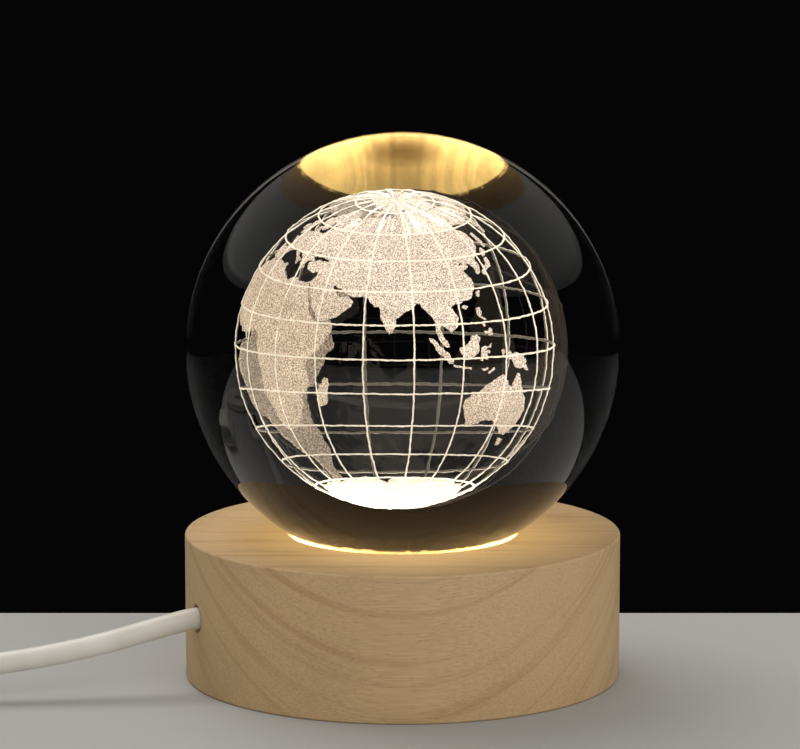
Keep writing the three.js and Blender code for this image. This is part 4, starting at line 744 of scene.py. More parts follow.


# Coasts in degrees of longitude and latitude, drawn from general geography, and plainer than the real ones,
# as an engraver's are.
LANDS = {
    "africa": [
        (42.5, 15.3), (44.5, 14.6), (51, 14.7), (50, 10.5), (47, 5.5), (42.5, 1.5), (39.5, -0.5),
        (38.7, -4), (39.5, -8), (40, -11), (38.5, -13), (36, -15.2), (34.8, -17), (35.3, -19.5),
        (34, -22), (32.5, -24.5), (31.5, -27), (29, -29.5), (26, -30.8), (22.5, -31.4), (19, -30.8),
        (17.5, -28.5), (16, -24.5), (14.5, -21), (13, -18), (11, -15), (12, -11), (11.5, -6), (10, -2),
        (8.8, 1.5), (8.5, 5), (8.3, 8), (5, 9), (2, 8.2), (-1, 7), (-4, 7.6), (-8, 6.5), (-13.5, 9),
        (-19, 12.5), (-22.5, 17), (-23, 22), (-21, 26.5), (-16, 30), (-9, 34.5), (-2, 36.5), (5, 37.2),
        (10, 37.6), (10.8, 34.5), (14.5, 32.8), (18, 31), (20.5, 32), (22, 33), (25, 32), (29, 31.6),
        (33, 32), (33.6, 29.4), (33.8, 28), (35.4, 25), (36.9, 22), (37.6, 19.5), (39.8, 16.8),
    ],
    "eurasia": [
        (33.2, 31.8), (34.5, 32.5), (35.8, 34.5), (36, 36.5), (33, 36.3), (30.5, 36.6), (28, 37),
        (26.8, 38.5), (26.5, 40.3), (29, 41), (26, 41), (24, 40.7), (23.3, 39.5), (24, 38), (22.5, 36.7),
        (21, 38), (19.7, 40.5), (19, 42), (16, 43.6), (13.5, 45.3), (12.5, 44.5), (14, 42.5),
        (16.5, 41.5), (18.3, 40.2), (16.8, 40), (16.5, 38.3), (15.5, 40), (12.3, 41.9), (10.3, 43.5),
        (8.5, 44.3), (5, 43.3), (3, 42.5), (0.5, 40.7), (-0.5, 38.5), (-2.2, 37.2), (-5.5, 36.6),
        (-9, 37.2), (-9.3, 39), (-8.8, 43.5), (-2, 43.6), (-1.3, 45.5), (-4.5, 48.5), (-1.5, 49),
        (1.5, 50.8), (4.5, 53), (8.3, 54), (8.3, 57), (10.5, 57.6), (10.8, 55), (14, 54.5), (19, 54.8),
        (21, 57), (24, 58), (24.5, 59.5), (29, 60), (23, 60.3), (21.5, 62), (24.5, 65), (22, 65.5),
        (17.5, 61), (16.5, 57.5), (13, 56), (11, 59), (6, 59), (5.3, 62), (12, 66), (18, 70), (26, 71),
        (33, 69.5), (41, 67), (36, 65), (40, 65), (45, 67.5), (54, 69), (60, 69.5), (68, 69), (72, 72),
        (75, 69), (80, 73), (88, 75), (100, 77), (105, 76.5), (113, 74.5), (125, 73.5), (135, 72),
        (145, 72.5), (155, 71), (165, 70), (175, 69.5), (188, 66.5), (180, 65), (178, 62.5), (170, 61),
        (164, 61), (162.8, 58), (158.5, 51.5), (157, 57), (159.5, 61), (152, 60.5), (144, 60),
        (137, 60.5), (130, 59.5), (134, 57), (137, 54.5), (137.5, 51), (136, 48.5), (133, 45.8),
        (129.5, 43.2), (127.5, 41.8), (128, 38.5), (126.8, 36), (124.5, 35.4), (124.5, 38), (123.3, 40),
        (121.5, 41.3), (120.4, 40), (118, 41.4), (115.8, 41), (114.5, 39.8), (118.5, 40.2), (121, 39.6),
        (118.5, 38.3), (116.6, 37.5), (118, 35.2), (119.8, 32), (119.3, 29.8), (117, 26.8), (114.4, 24.6),
        (110.5, 23.6), (108.8, 23.2), (107.4, 23.4), (105.6, 22.5), (104.6, 21.6), (106, 19.5),
        (107.6, 17.3), (106.6, 13.6), (103.6, 11.2), (102.5, 12.3), (100.8, 13.6), (98.8, 14.7),
        (98.5, 12.5), (99.8, 9.5), (101.6, 7.5), (102.4, 5), (101, 5), (99, 7), (97.4, 10), (96.6, 12.5),
        (96.4, 15.2), (95.6, 18), (93.4, 20), (91.8, 21.8), (90.4, 24), (89, 24.3), (87.6, 22.8),
        (84.2, 21), (81.6, 19.2), (79.4, 17.6), (79.2, 14.2), (77.8, 11.6), (76.4, 10.8), (75.1, 12.6),
        (73.6, 16), (72.4, 20), (71.6, 22.6), (69.6, 22.6), (67.4, 24.6), (65.8, 26.8), (61, 27),
        (57.4, 27.3), (54.5, 28.4), (50.6, 30.4), (48, 31.6), (47.4, 30.8), (49.3, 29), (50.6, 27.2),
        (52.2, 26.3), (54.6, 26.3), (56.6, 26.9), (57.4, 26.2), (59.3, 24.6), (58.6, 22.8), (56.2, 20.8),
        (52.2, 17.7), (49, 16.7), (46.4, 15.8), (44, 15.5), (42.9, 15.9), (41.9, 17.8), (40, 20.2),
        (38.4, 23), (36.6, 26), (35, 28.8),
    ],
    "britain": [
        (-5, 50), (1, 51), (1.5, 53), (-1.5, 55), (-2.5, 57.5), (-5, 58.5), (-5.5, 56), (-3, 54),
        (-4.8, 52.5),
    ],
    "ireland": [(-6.2, 52.3), (-6, 54.5), (-8, 55.2), (-10, 53.8), (-9.6, 51.7)],
    "iceland": [(-22, 64), (-18.5, 63.5), (-14, 64.8), (-15.5, 66.2), (-20, 66), (-23.5, 66)],
    "novaya_zemlya": [(52, 71), (57, 70.7), (58, 73), (66, 76.5), (60, 76), (54, 73)],
    "sakhalin": [(143, 46.2), (144.5, 49), (143.5, 54), (142, 54), (142, 49)],
    "hokkaido": [(135.8, 42.4), (138.4, 43.5), (139.8, 44.6), (138, 46.6), (136.6, 45.6), (135.6, 43.6)],
    "honshu": [
        (130.6, 36.8), (132.4, 36.6), (134, 37.2), (136, 37.8), (137, 39.6), (136.8, 42), (135.4, 41.8),
        (134.6, 39.8), (132.8, 38.6), (130.8, 38.2),
    ],
    "kyushu": [(128.6, 35), (130, 34.4), (130.6, 36.2), (129.4, 37), (128.4, 36.2)],
    "taiwan": [(119.3, 26.2), (120.5, 25.5), (121.6, 27.6), (121, 28.4), (119.6, 27.8)],
    "hainan": [(110.3, 21.2), (112, 20.6), (113.1, 21.8), (111.8, 22.4), (110.4, 22.2)],
    "luzon": [
        (117.2, 20.8), (119.2, 21), (119.6, 18.8), (118.8, 17.6), (120.6, 16.4), (121.2, 15.6),
        (119.6, 16), (118, 17), (117.2, 18.6),
    ],
    "visayas": [(119, 14.2), (120.2, 14.4), (120.4, 13.2), (119.4, 12.8)],
    "mindanao": [
        (119.5, 11), (121, 10.8), (122.4, 12.2), (123.6, 11.4), (123.4, 9.2), (121.8, 8.8), (121.4, 10),
        (120, 9.8),
    ],
    "borneo": [
        (107, 4.5), (109, 5), (111, 6.2), (112.8, 9.4), (115.2, 10), (117, 8.6), (115.8, 6), (116.2, 3.4),
        (114.8, 1.5), (112, 0.2), (109, 0.4), (107.4, 2.4),
    ],
    "sumatra": [
        (93.5, 9.2), (95.4, 8.6), (97.6, 6), (100.2, 3.6), (102.6, 1), (104.2, -0.6), (103.8, -2),
        (102, -1.8), (99, 1.6), (96, 5.2), (93.8, 8),
    ],
    "java": [
        (104.4, -2.3), (107, -2.8), (110, -3.4), (112.4, -3.8), (112.2, -4.8), (109, -4.4), (105.5, -3.6),
        (104, -3),
    ],
    "sulawesi": [
        (117.6, 4.4), (119, 4.9), (121, 4.6), (122.6, 5.8), (122, 3.9), (119.8, 3.8), (119.6, 2.9),
        (121.6, 2.6), (121.2, 1.6), (119.8, 1.6), (120.4, -0.8), (119.4, -0.8), (118.4, 1.2),
        (117.6, -1.4), (116.7, -1), (117.2, 1.8),
    ],
    "flores": [(117, -4.4), (119, -4.6), (120.6, -4.2), (120.4, -5), (118, -5.2)],
    "timor": [(120.8, -6.2), (122.6, -5.2), (123.8, -4.2), (124, -4.8), (122.4, -6), (121.2, -6.8)],
    "halmahera": [(127.8, 2.6), (129.2, 3), (129.4, 1.6), (128.6, 0.6)],
    "new_guinea": [
        (130.8, 0.6), (132.4, 2.2), (133.6, 0.8), (136, 1.2), (139, 0.4), (141.5, -1.4), (143.2, -2.6),
        (142.4, -3.8), (145, -6.6), (143, -6.2), (141.4, -4.8), (139, -5.6), (136.6, -5), (135, -3),
        (133.4, -1.2), (131.6, -1),
    ],
    "australia": [
        (110.5, -18.6), (113, -16.5), (116, -15), (118.5, -13.4), (121, -11.4), (124, -9.6),
        (126.6, -8.4), (129, -7.4), (130.6, -9), (132.4, -10.2), (133.2, -12.2), (135.6, -13),
        (136.4, -10), (137.6, -7.5), (139.2, -7.5), (140, -9.6), (141.2, -13), (144, -16), (146.6, -19),
        (148.6, -22), (148, -25.6), (146, -29.5), (143.5, -32), (140.4, -33.6), (137.5, -33), (135, -31),
        (132.6, -29.6), (129.4, -27.4), (126.4, -27), (123, -27), (120, -28.4), (116.6, -29),
        (113.4, -28.8), (112.5, -26), (111.2, -22.4), (110.3, -20.2),
    ],
    "tasmania": [(138.4, -35.4), (142.4, -35.4), (142, -38), (140, -38.6)],
    "new_zealand": [(169, -41), (174, -33), (178, -32), (176, -36.5), (172, -40), (169.5, -43)],
    "madagascar": [
        (47.8, -8), (49.4, -8.4), (49.8, -11), (48.6, -15.5), (47.2, -19.8), (45, -20.6), (43.4, -20.3),
        (42.7, -17.5), (44, -14), (45, -11.2), (46.6, -10),
    ],
    "north_america": [
        (-161.5, 65), (-155.5, 60), (-152.5, 57), (-144.5, 60.5), (-134.5, 60), (-128, 56), (-122.2, 51),
        (-119.8, 46), (-119.3, 41), (-116, 35.5), (-112.5, 33), (-108.3, 26), (-105.9, 23.5),
        (-110.2, 31), (-105.9, 27), (-101, 21), (-95.3, 17.5), (-90, 16.5), (-83.7, 13.5), (-80.3, 10),
        (-76.5, 8.5), (-79.8, 13), (-80.3, 16.5), (-85.1, 17), (-84.2, 22), (-87.5, 20), (-92.4, 20),
        (-93.8, 25.5), (-90.5, 30), (-86.1, 31), (-79.8, 31), (-78.4, 26.5), (-77.4, 33), (-72.6, 37),
        (-71.2, 41.5), (-64.5, 45.5), (-58.5, 47), (-62.5, 50), (-54.5, 53), (-60.5, 59), (-68.3, 62),
        (-75, 63), (-74.1, 57), (-76.9, 53), (-82.7, 57), (-90.5, 60), (-84.7, 65), (-79.8, 70),
        (-91.5, 73), (-110.5, 71), (-125.1, 71.5), (-150.1, 72.5), (-160.5, 69),
    ],
    "baffin": [(-61.5, 64), (-69.2, 67), (-76.9, 74), (-86.5, 74), (-78.9, 71), (-70.2, 64)],
    "greenland": [
        (-42.5, 61), (-50, 66), (-51.9, 71), (-65.5, 77), (-57.5, 82), (-38.5, 84), (-21.5, 82),
        (-19.5, 74), (-30.5, 69), (-38.5, 65),
    ],
    "south_america": [
        (-74.1, 10.5), (-69.2, 14), (-59.6, 13), (-54.8, 8.5), (-48, 5), (-46.1, 1.5), (-37.5, -1),
        (-33.5, -5.5), (-37, -12), (-39.5, -20), (-46.1, -24), (-50.9, -30), (-55.8, -34.5), (-61.5, -38),
        (-64.5, -43), (-65.9, -50), (-70.2, -48), (-70.7, -37), (-68.3, -28), (-67.8, -16), (-73.1, -10),
        (-77.5, -3), (-76.5, 3),
    ],
}
SEAS = {
    "black_sea": [
        (26.8, 43.2), (29, 44), (31.5, 43.7), (34, 43.8), (37, 43), (39.4, 42.4), (38.8, 41.6), (33, 42),
        (29, 41.9),
    ],
    "azov": [(28.2, 45.5), (30.8, 45.8), (31.2, 45), (29, 44.8)],
}
ICE_COAST = [
    (0, -62), (12, -61.5), (26, -60.5), (31, -62.5), (36, -61.6), (41, -60.6), (52, -60.4), (64, -60.6),
    (69, -62.4), (74, -64.8), (78, -61.4), (92, -60.4), (110, -60.2), (126, -60.4), (138, -61.2),
    (143, -63.5), (150, -62), (164, -65), (172, -72), (190, -76), (212, -72), (235, -70), (255, -68),
    (285, -70), (296, -63), (303, -62), (300, -68), (318, -75), (335, -70),
]
ARCTIC_COAST = [
    (10, 81), (28, 80), (45, 78.5), (62, 77), (80, 76), (98, 78.5), (112, 77.5), (128, 76), (146, 75.5),
    (165, 76.5), (185, 77.5), (210, 78), (240, 79), (270, 80), (300, 82), (330, 82), (350, 81),
]


def coast(outline, chance):
    """The outline with every side broken into short steps that stray a little to each side."""
    rough = []
    for (x0, y0), (x1, y1) in zip(outline, outline[1:] + outline[:1]):
        side = [(x0, y0), (x1, y1)]
        while math.dist(side[0], side[1]) > COAST_STEP:
            halved = [side[0]]
            for (ax, ay), (bx, by) in zip(side, side[1:]):
                stray = chance.uniform(-COAST_ROUGHNESS, COAST_ROUGHNESS)
                middle = ((ax + bx) / 2 - (by - ay) * stray, (ay + by) / 2 + (bx - ax) * stray)
                halved += [middle, (bx, by)]
            side = halved
        rough += side[:-1]
    return rough


def inside(points, outline):
    """For each point, whether it lies inside the outline."""
    x, y = np.array(points, float).T
    within = np.zeros(len(x), bool)
    for (x0, y0), (x1, y1) in zip(outline, outline[1:] + outline[:1]):
        if y0 != y1:
            within ^= ((y0 > y) != (y1 > y)) & (x < x0 + (x1 - x0) * (y - y0) / (y1 - y0))
    return within


def on_plate(points, outline, holes):
    """For each point, whether it lies inside the outline and outside the holes."""
    within = inside(points, outline)
    for hole in holes:
        within &= ~inside(points, hole)
    return within


def engraved_plate(outline, holes, place):
    """The vertices and faces of a thin closed plate inside the outline and outside the holes, laid
    out by place(x, y, radius)."""
    points = []
    edges = []
    for ring in (outline, *holes):
        start = len(points)
        edges += [(start + k, start + (k + 1) % len(ring)) for k in range(len(ring))]
        points += ring
    low_x, low_y = np.min(outline, axis=0)
    high_x, high_y = np.max(outline, axis=0)
    grid = [(x, y) for x in np.arange(low_x, high_x, LAND_GRID)
            for y in np.arange(low_y, high_y, LAND_GRID)]
    points += [point for point, keep in zip(grid, on_plate(grid, outline, holes)) if keep]
    flat, _, triangles, *_ = delaunay_2d_cdt([Vector(p) for p in points], edges, [], 0, 1e-5)
    middles = [sum((flat[v] for v in t), Vector((0, 0))) / 3 for t in triangles]
    triangles = [t for t, keep in zip(triangles, on_plate(middles, outline, holes)) if keep]
    count = len(flat)
    verts = [place(*p, radius) for radius in (LAND_OUTER, LAND_INNER) for p in flat]
    faces = [tuple(t) for t in triangles] + [tuple(v + count for v in reversed(t)) for t in triangles]
    sides = dict.fromkeys((a, b) for t in triangles for a, b in zip(t, (*t[1:], t[0])))
    faces += [(b, a, a + count, b + count) for a, b in sides if (b, a) not in sides]
    return verts, faces


def engraved_land():
    """All the land as one mesh of thin plates, and the rough outlines that it was cut to."""
    chance = random.Random(LAND_SEED)
    plates, outlines = [], []
    for name, outline in LANDS.items():
        rough = coast(outline, chance)
        seas = [coast(sea, chance) for sea in SEAS.values()] if name == "eurasia" else []
        plates.append(engraved_plate(rough, seas, map_place))
        outlines.append(rough)
    for pole, ice_coast in ((-1, ICE_COAST), (1, ARCTIC_COAST)):
        around = []
        for longitude, latitude in ice_coast:
            from_pole, turn = 90 - abs(latitude), math.radians(longitude)
            around.append((from_pole * math.cos(turn), from_pole * math.sin(turn)))

        def ice_place(x, y, radius, pole=pole):
            return globe_place(math.degrees(math.atan2(y, x)), pole * (90 - math.hypot(x, y)), radius)

        plates.append(engraved_plate(coast(around, chance), [], ice_place))
    verts, faces = [], []
    for plate_verts, plate_faces in plates:
        faces += [tuple(v + len(verts) for v in face) for face in plate_faces]
        verts += plate_verts
    return verts, faces, outlines


def engraved_lines():
    """The grid as one mesh of thin ragged rods, closed rings along the parallels and bars from
    near pole to near pole along the meridians, with each vertex's longitude and latitude."""
    chance = random.Random(LINE_SEED)
    verts, faces, lon_lat, lines = [], [], [], []
    for k in range(PARALLELS):
        latitude = 180 * (k + 1) / (PARALLELS + 1) - 90
        steps = max(int(LINE_STEPS * math.cos(math.radians(latitude))), LEAST_STEPS)
        lines.append(([(360 * s / steps, latitude) for s in range(steps)], True))
    for k in range(MERIDIANS):
        longitude = 360 * k / MERIDIANS
        steps = LINE_STEPS // 2
        span = 180 - 2 * POLE_INSET
        lines.append(([(longitude, POLE_INSET - 90 + span * s / steps) for s in range(steps + 1)], False))
    for line, closed in lines:
        start = len(verts)
        centres = [globe_place(lon, lat, GLOBE_RADIUS) for lon, lat in line]
        stray = Vector((0, 0, 0))
        for k, centre in enumerate(centres):
            ahead = centres[(k + 1) % len(centres)] if closed or k + 1 < len(centres) else centre
            behind = centres[k - 1] if closed or k > 0 else centre
            along = (ahead - behind).normalized()
            out = (centre - GLOBE_CENTRE).normalized()
            side = along.cross(out)
            push = side * chance.uniform(-1, 1) + out * chance.uniform(-1, 1)
            stray = stray * LINE_STEADINESS + push * LINE_WANDER
            thickness = LINE_WIDTH / 2 * chance.uniform(*LINE_SWELL)
            for s in range(LINE_SIDES):
                angle = 2 * math.pi * s / LINE_SIDES
                verts.append(centre + stray + (side * math.cos(angle) + out * math.sin(angle)) * thickness)
                lon_lat.append(line[k])
        spans = len(centres) if closed else len(centres) - 1
        for k in range(spans):
            here = start + k * LINE_SIDES
            there = start + (k + 1) % len(centres) * LINE_SIDES
            for s in range(LINE_SIDES):
                t = (s + 1) % LINE_SIDES
                faces.append((here + s, here + t, there + t, there + s))
        if not closed:
            faces.append(tuple(range(start + LINE_SIDES - 1, start - 1, -1)))
            last = start + spans * LINE_SIDES
            faces.append(tuple(range(last, last + LINE_SIDES)))
    return verts, faces, lon_lat


def laser_cracks(name, colour, lit_colour, inward, specks, crosses_land=False):
    """Fine cracks made by a laser inside the glass: a sandy, slightly sparkling off-white. The light from
    below that they scatter is painted on them as a glow, dimmed on the side turned inward. The cracks are
    drawn a few times as coarse as they are, so that they show."""
    material, tree = start_finish(name)
    coordinates = add(tree, "TexCoord")
    place = coordinates.outputs["Object"]
    from_centre = add(tree, "VectorMath", [place, GLOBE_CENTRE], operation="SUBTRACT")
    outward = add(tree, "VectorMath", [from_centre], operation="NORMALIZE")
    facing, lit = [
        add(tree, "VectorMath", [outward, way], operation="DOT_PRODUCT").outputs["Value"]
        for way in (coordinates.outputs["Normal"], LIT_SIDE)]
    # Painted light and shade: the glow is painted dim on the side turned inward, and brighter at the foot,
    # on the crown's rays and on the upper right side.
    side = add(tree, "MapRange", [facing, -0.35, 0.35, inward, 1])
    height = add(tree, "SeparateXYZ", [outward]).outputs["Z"]
    foot = add(tree, "MapRange", [height, *FOOT_HEIGHTS, FOOT_GLOW, 1])
    crown = add(tree, "MapRange", [height, *CROWN_HEIGHTS, 0, CROWN_GLOW])
    level = add(tree, "VectorMath", [outward, (1, 1, 0)], operation="MULTIPLY")
    turn = add(tree, "VectorMath", [level], operation="NORMALIZE")
    ray = add(tree, "TexNoise", {"Vector": turn, "Scale": CROWN_RAYS, "Detail": 2.0})
    streak = add(tree, "MapRange", [ray, 0.5, 0.6])
    crown = add(tree, "Math", [crown, streak, 1], operation="MULTIPLY_ADD")
    crack = add(tree, "TexNoise", {"Vector": place, "Scale": 1 / CRACK_SIZE, "Detail": 1.5})
    speck = add(tree, "MapRange", [crack, 0.38, 0.62, *specks])
    # Random unevenness in the brightness of the painted glow.
    glow_noise = add(tree, "TexNoise", {"Vector": place, "Scale": 1 / GLOW_CLOUD_SIZE, "Detail": 2.0})
    cloud = add(tree, "MapRange", [glow_noise, 0.3, 0.7, 0.92, 1.08])
    rising = add(tree, "MapRange", [lit, -0.05, 0.45])
    lift = add(tree, "MapRange", [rising, 0, 1, 1.03, 1.4])
    shares = [foot, crown, lift, speck, cloud]
    if crosses_land:
        over = add(tree, "Attribute", attribute_name="over_land").outputs["Fac"]
        shares.append(add(tree, "MapRange", [over, 0, 1, 1, OVER_LAND_GLOW]))
    glow = side
    for share in shares:
        glow = add(tree, "Math", [glow, share], operation="MULTIPLY")
    hue = add(tree, "Mix", {0: rising, 6: colour, 7: lit_colour}, data_type="RGBA").outputs[2]
    shown = add(tree, "VectorMath", {0: hue, "Scale": glow}, operation="SCALE")
    # The cracks' own base colour is kept dark, so that all their look is the painted glow.
    add(tree, "OutputMaterial", [add(tree, "BsdfPrincipled", {
        "Base Color": CRACK_BASE_KEPT_DARK, "Roughness": 0.8, "Specular IOR Level": 0.0,
        "Emission Color": shown, "Emission Strength": 1.0})])
    material.cycles.emission_sampling = "NONE"
    return material


land_verts, land_faces, land_outlines = engraved_land()
engraved_map = solid_piece("engraved_land", land_verts, land_faces, smooth_angle=50)
engraved_map.data.materials.append(
    laser_cracks("land_cracks_painted_glow", LAND_CREAM, LAND_PAINTED_LIT_CREAM, LAND_INWARD, LAND_SPECKS))
line_verts, line_faces, line_places = engraved_lines()
engraved_grid = solid_piece("engraved_grid", line_verts, line_faces, smooth_angle=80)
on_map = [((lon - MAP_SHIFT) / MAP_STRETCH[0], lat / MAP_STRETCH[1]) for lon, lat in line_places]
wrapped = [(lon - 360 if lon > MAP_EAST_EDGE else lon, lat) for lon, lat in on_map]
over_land = np.zeros(len(wrapped), bool)
for land_outline in land_outlines:
    over_land |= inside(wrapped, land_outline)
over = engraved_grid.data.attributes.new("over_land", "FLOAT", "POINT")
over.data.foreach_set("value", over_land.astype(np.float32))
engraved_grid.data.materials.append(
    laser_cracks("line_cracks_painted_glow", CRACK_CREAM, CRACK_CREAM, LINE_INWARD, LINE_SPECKS, crosses_land=True))
place_piece(engraved_map, "ball", "engraving", "engraved_globe")
place_piece(engraved_grid, "ball", "engraving")

# In-line switch: two halves of pale moulded ABS, held by two screws from below, round a black
# rocker that turns on its pins. Its end towards the lamp is pressed, which closes the contacts.
SWITCH_X, SWITCH_Y = -79.0 * MM, -18.0 * MM
SWITCH_LENGTH = 30.0 * MM
SWITCH_WIDTH = 13.0 * MM
SWITCH_HEIGHT = 9.0 * MM
SWITCH_WALL = 1.2 * MM
SWITCH_CORNER = 3.0 * MM
SWITCH_EDGE = 0.8 * MM
SMOOTH_STEPS = 8
SWITCH_PARTING = 4.5 * MM
PARTING_EASE = 0.14 * MM
LEAD_PASSAGE_RADIUS = 1.8 * MM
WINDOW_LENGTH = 14.1 * MM
WINDOW_WIDTH = 7.2 * MM
WINDOW_RIM = 0.45 * MM
WINDOW_RIM_DEPTH = 0.25 * MM
SWITCH_SCREWS = [(9.3 * MM, 4.2 * MM), (-9.3 * MM, -4.2 * MM)]
# Profiles of radius and height in millimetres, of a screw, head down, and of its hole.
SWITCH_SCREW = [(1.4, 0.6), (1.4, 0.7), (0.8, 1.4), (0.8, 5.9), (0.0, 7.5)]
SWITCH_SCREW_HOLE = [(0.0, -1.0), (1.7, -1.0), (1.7, 0.6), (1.1, 1.4), (1.1, 2.0), (0.0, 2.0)]
PIVOT = Vector((-79.0, -18.0, 6.0)) * MM
ROCKER_TILT = math.radians(8)
ROCKER_LENGTH = 12.4 * MM
ROCKER_WIDTH = 6.6 * MM
ROCKER_TOP = 4.4 * MM
ROCKER_DIP = 0.9 * MM
ROCKER_BELLY = 1.0 * MM
ROCKER_BELLY_LENGTH = 9.0 * MM
ROCKER_EASE = 0.3 * MM
ROCKER_STEPS = 16
PIN_RADIUS = 1.0 * MM
PIN_LENGTH = 9.2 * MM
PIN_EASE = 0.1 * MM
PIN_SIDES = 32
MARK_PLACE = 4.0 * MM
MARK_RISE = 0.05 * MM
MARK_STROKE = 0.4 * MM
MARK_HEIGHT = 2.0 * MM
SWITCH_PALE = "#E6E2D8"
SWITCH_SHADE = "#DBD6CA"
ROCKER_BLACK = "#242427"
ROCKER_SHADE = "#17171A"
MARK_WHITE = "#EFEDE6"
MARK_SHADE = "#E2DFD6"
BRASS_PALE = "#D2AE66"
BRASS_SHADE = "#B18C49"


def switch_half(name, low, high, ease_low, ease_high):
    """One half of the switch's case: a hollow shell with a passage for the lead at either end."""
    half = rounded_slab(name, SWITCH_LENGTH, SWITCH_WIDTH, low, high, SWITCH_CORNER,
                        ease_low, ease_high, SMOOTH_STEPS)
    inner_low = SWITCH_WALL if low == 0 else low - MM
    inner_high = SWITCH_HEIGHT - SWITCH_WALL if low > 0 else high + MM
    room = rounded_slab("room", SWITCH_LENGTH - 2 * SWITCH_WALL, SWITCH_WIDTH - 2 * SWITCH_WALL,
                        inner_low, inner_high, SWITCH_CORNER - SWITCH_WALL)
    passage = drill(LEAD_PASSAGE_RADIUS, -SWITCH_LENGTH, SWITCH_LENGTH)
    cut_away(half, room, moved(passage, z=SWITCH_PARTING, turn=math.pi / 2, axis="Y"))
    return half


def dipped(x):
    """The height of the rocker's hollow top above its pivot."""
    return ROCKER_TOP - ROCKER_DIP * (1 - (2 * x / ROCKER_LENGTH) ** 2)


def rocker_paddle():
    """The rocker, from its profile: a hollow top, straight ends and a flat belly, its edges eased."""
    end, belly = ROCKER_LENGTH / 2, ROCKER_BELLY_LENGTH / 2
    profile = [(-end, 0), (-belly, -ROCKER_BELLY), (belly, -ROCKER_BELLY), (end, 0)]
    for k in range(ROCKER_STEPS + 1):
        x = end - ROCKER_LENGTH * k / ROCKER_STEPS
        profile.append((x, dipped(x)))
    count = len(profile)
    verts = [(x, side * ROCKER_WIDTH / 2, z) for side in (-1, 1) for x, z in profile]
    faces = [tuple(range(count)), tuple(range(2 * count - 1, count - 1, -1))]
    faces += [(k, (k + 1) % count, (k + 1) % count + count, k + count) for k in range(count)]
    paddle = solid_piece("paddle", verts, faces)
    shaper = bmesh.new()
    shaper.from_mesh(paddle.data)
    rim = [e for e in shaper.edges if len(e.link_faces) == 2 and e.calc_face_angle() > math.radians(50)]
    bmesh.ops.bevel(shaper, geom=rim, offset=ROCKER_EASE, segments=4, profile=0.5, affect="EDGES",
                    clamp_overlap=True)
    shaper.to_mesh(paddle.data)
    shaper.free()
    paddle.data.shade_smooth()
    paddle.data.set_sharp_from_angle(angle=math.radians(30))
    return paddle


def rocker_pin():
    """The round pin across the rocker on which it turns."""
    reach, narrow = PIN_LENGTH / 2, PIN_RADIUS - PIN_EASE
    pin = turned("pin", [(0, -reach), (narrow, -reach), (PIN_RADIUS, PIN_EASE - reach),
                         (PIN_RADIUS, reach - PIN_EASE), (narrow, reach), (0, reach)], PIN_SIDES)
    return moved(pin, turn=math.pi / 2, axis="X")


def on_off_marks():
    """A bar for on and a ring for off, printed on the two ends of the rocker."""
    slope = math.atan(4 * ROCKER_DIP * 2 * MARK_PLACE / ROCKER_LENGTH ** 2)
    bar = rounded_slab("bar", MARK_HEIGHT, MARK_STROKE, -MARK_RISE, MARK_RISE, MARK_STROKE / 2.2)
    outer, inner = MARK_HEIGHT / 2, MARK_HEIGHT / 2 - MARK_STROKE
    ring = turned("ring", [(inner, -MARK_RISE), (outer, -MARK_RISE), (outer, MARK_RISE), (inner, MARK_RISE)],
                  ROUND_SIDES, closed=True)
    for mark, end in ((bar, 1), (ring, -1)):
        moved(mark, end * MARK_PLACE, 0, dipped(MARK_PLACE), -end * slope, "Y")
        mark.data.materials.append(mark_ink)
    return joined("rocker_marks", bar, ring)


switch_abs = moulded("switch_abs_moulded", SWITCH_PALE, SWITCH_SHADE, 0.38, COARSE_GRAIN)
rocker_abs = moulded("rocker_abs_gloss", ROCKER_BLACK, ROCKER_SHADE, 0.25, COARSE_GRAIN)
mark_ink = moulded("mark_ink_printed", MARK_WHITE, MARK_SHADE, 0.5, FINE_GRAIN)
brass = plated_metal("brass_stamped", BRASS_PALE, BRASS_SHADE, 0.25)
case_bottom = switch_half("case_bottom", 0, SWITCH_PARTING, SWITCH_EDGE, PARTING_EASE)
for x, y in SWITCH_SCREWS:
    hole = turned("screw_hole", [(r * MM, z * MM) for r, z in SWITCH_SCREW_HOLE], SCREW_SIDES)
    cut_away(case_bottom, moved(hole, x, y))
case_top = switch_half("case_top", SWITCH_PARTING, SWITCH_HEIGHT, PARTING_EASE, SWITCH_EDGE)
window, window_rim = [
    rounded_slab("window", WINDOW_LENGTH + 2 * rim, WINDOW_WIDTH + 2 * rim, low, SWITCH_HEIGHT + MM,
                 SWITCH_WALL / 2 + rim)
    for rim, low in ((0, SWITCH_PARTING), (WINDOW_RIM, SWITCH_HEIGHT - WINDOW_RIM_DEPTH))]
cut_away(case_top, window, window_rim)
for half, node in ((case_bottom, "switch_case_bottom"), (case_top, "switch_case_top")):
    half.data.materials.append(switch_abs)
    place_piece(moved(half, SWITCH_X, SWITCH_Y), "base", "switch", node)
paddle = rocker_paddle()
pin = rocker_pin()
for part in (paddle, pin):
    part.data.materials.append(rocker_abs)
rocker = moved(joined("rocker", paddle, pin), *PIVOT, ROCKER_TILT, "Y")
marks = moved(on_off_marks(), *PIVOT, ROCKER_TILT, "Y")
place_piece(rocker, "rocker", "rocker", "switch_rocker")
place_piece(marks, "rocker", "rocker")
for number, (x, y) in enumerate(SWITCH_SCREWS, 1):
    screw = crosshead_screw(f"case_screw_{number}", SWITCH_SCREW, SWITCH_X + x, SWITCH_Y + y, zinc_steel)
    place_piece(screw, "base", "steel", f"switch_screw_{number}")
finish_nodes("brass", brass, "switch_bridge", "switch_contact_1", "switch_contact_2")

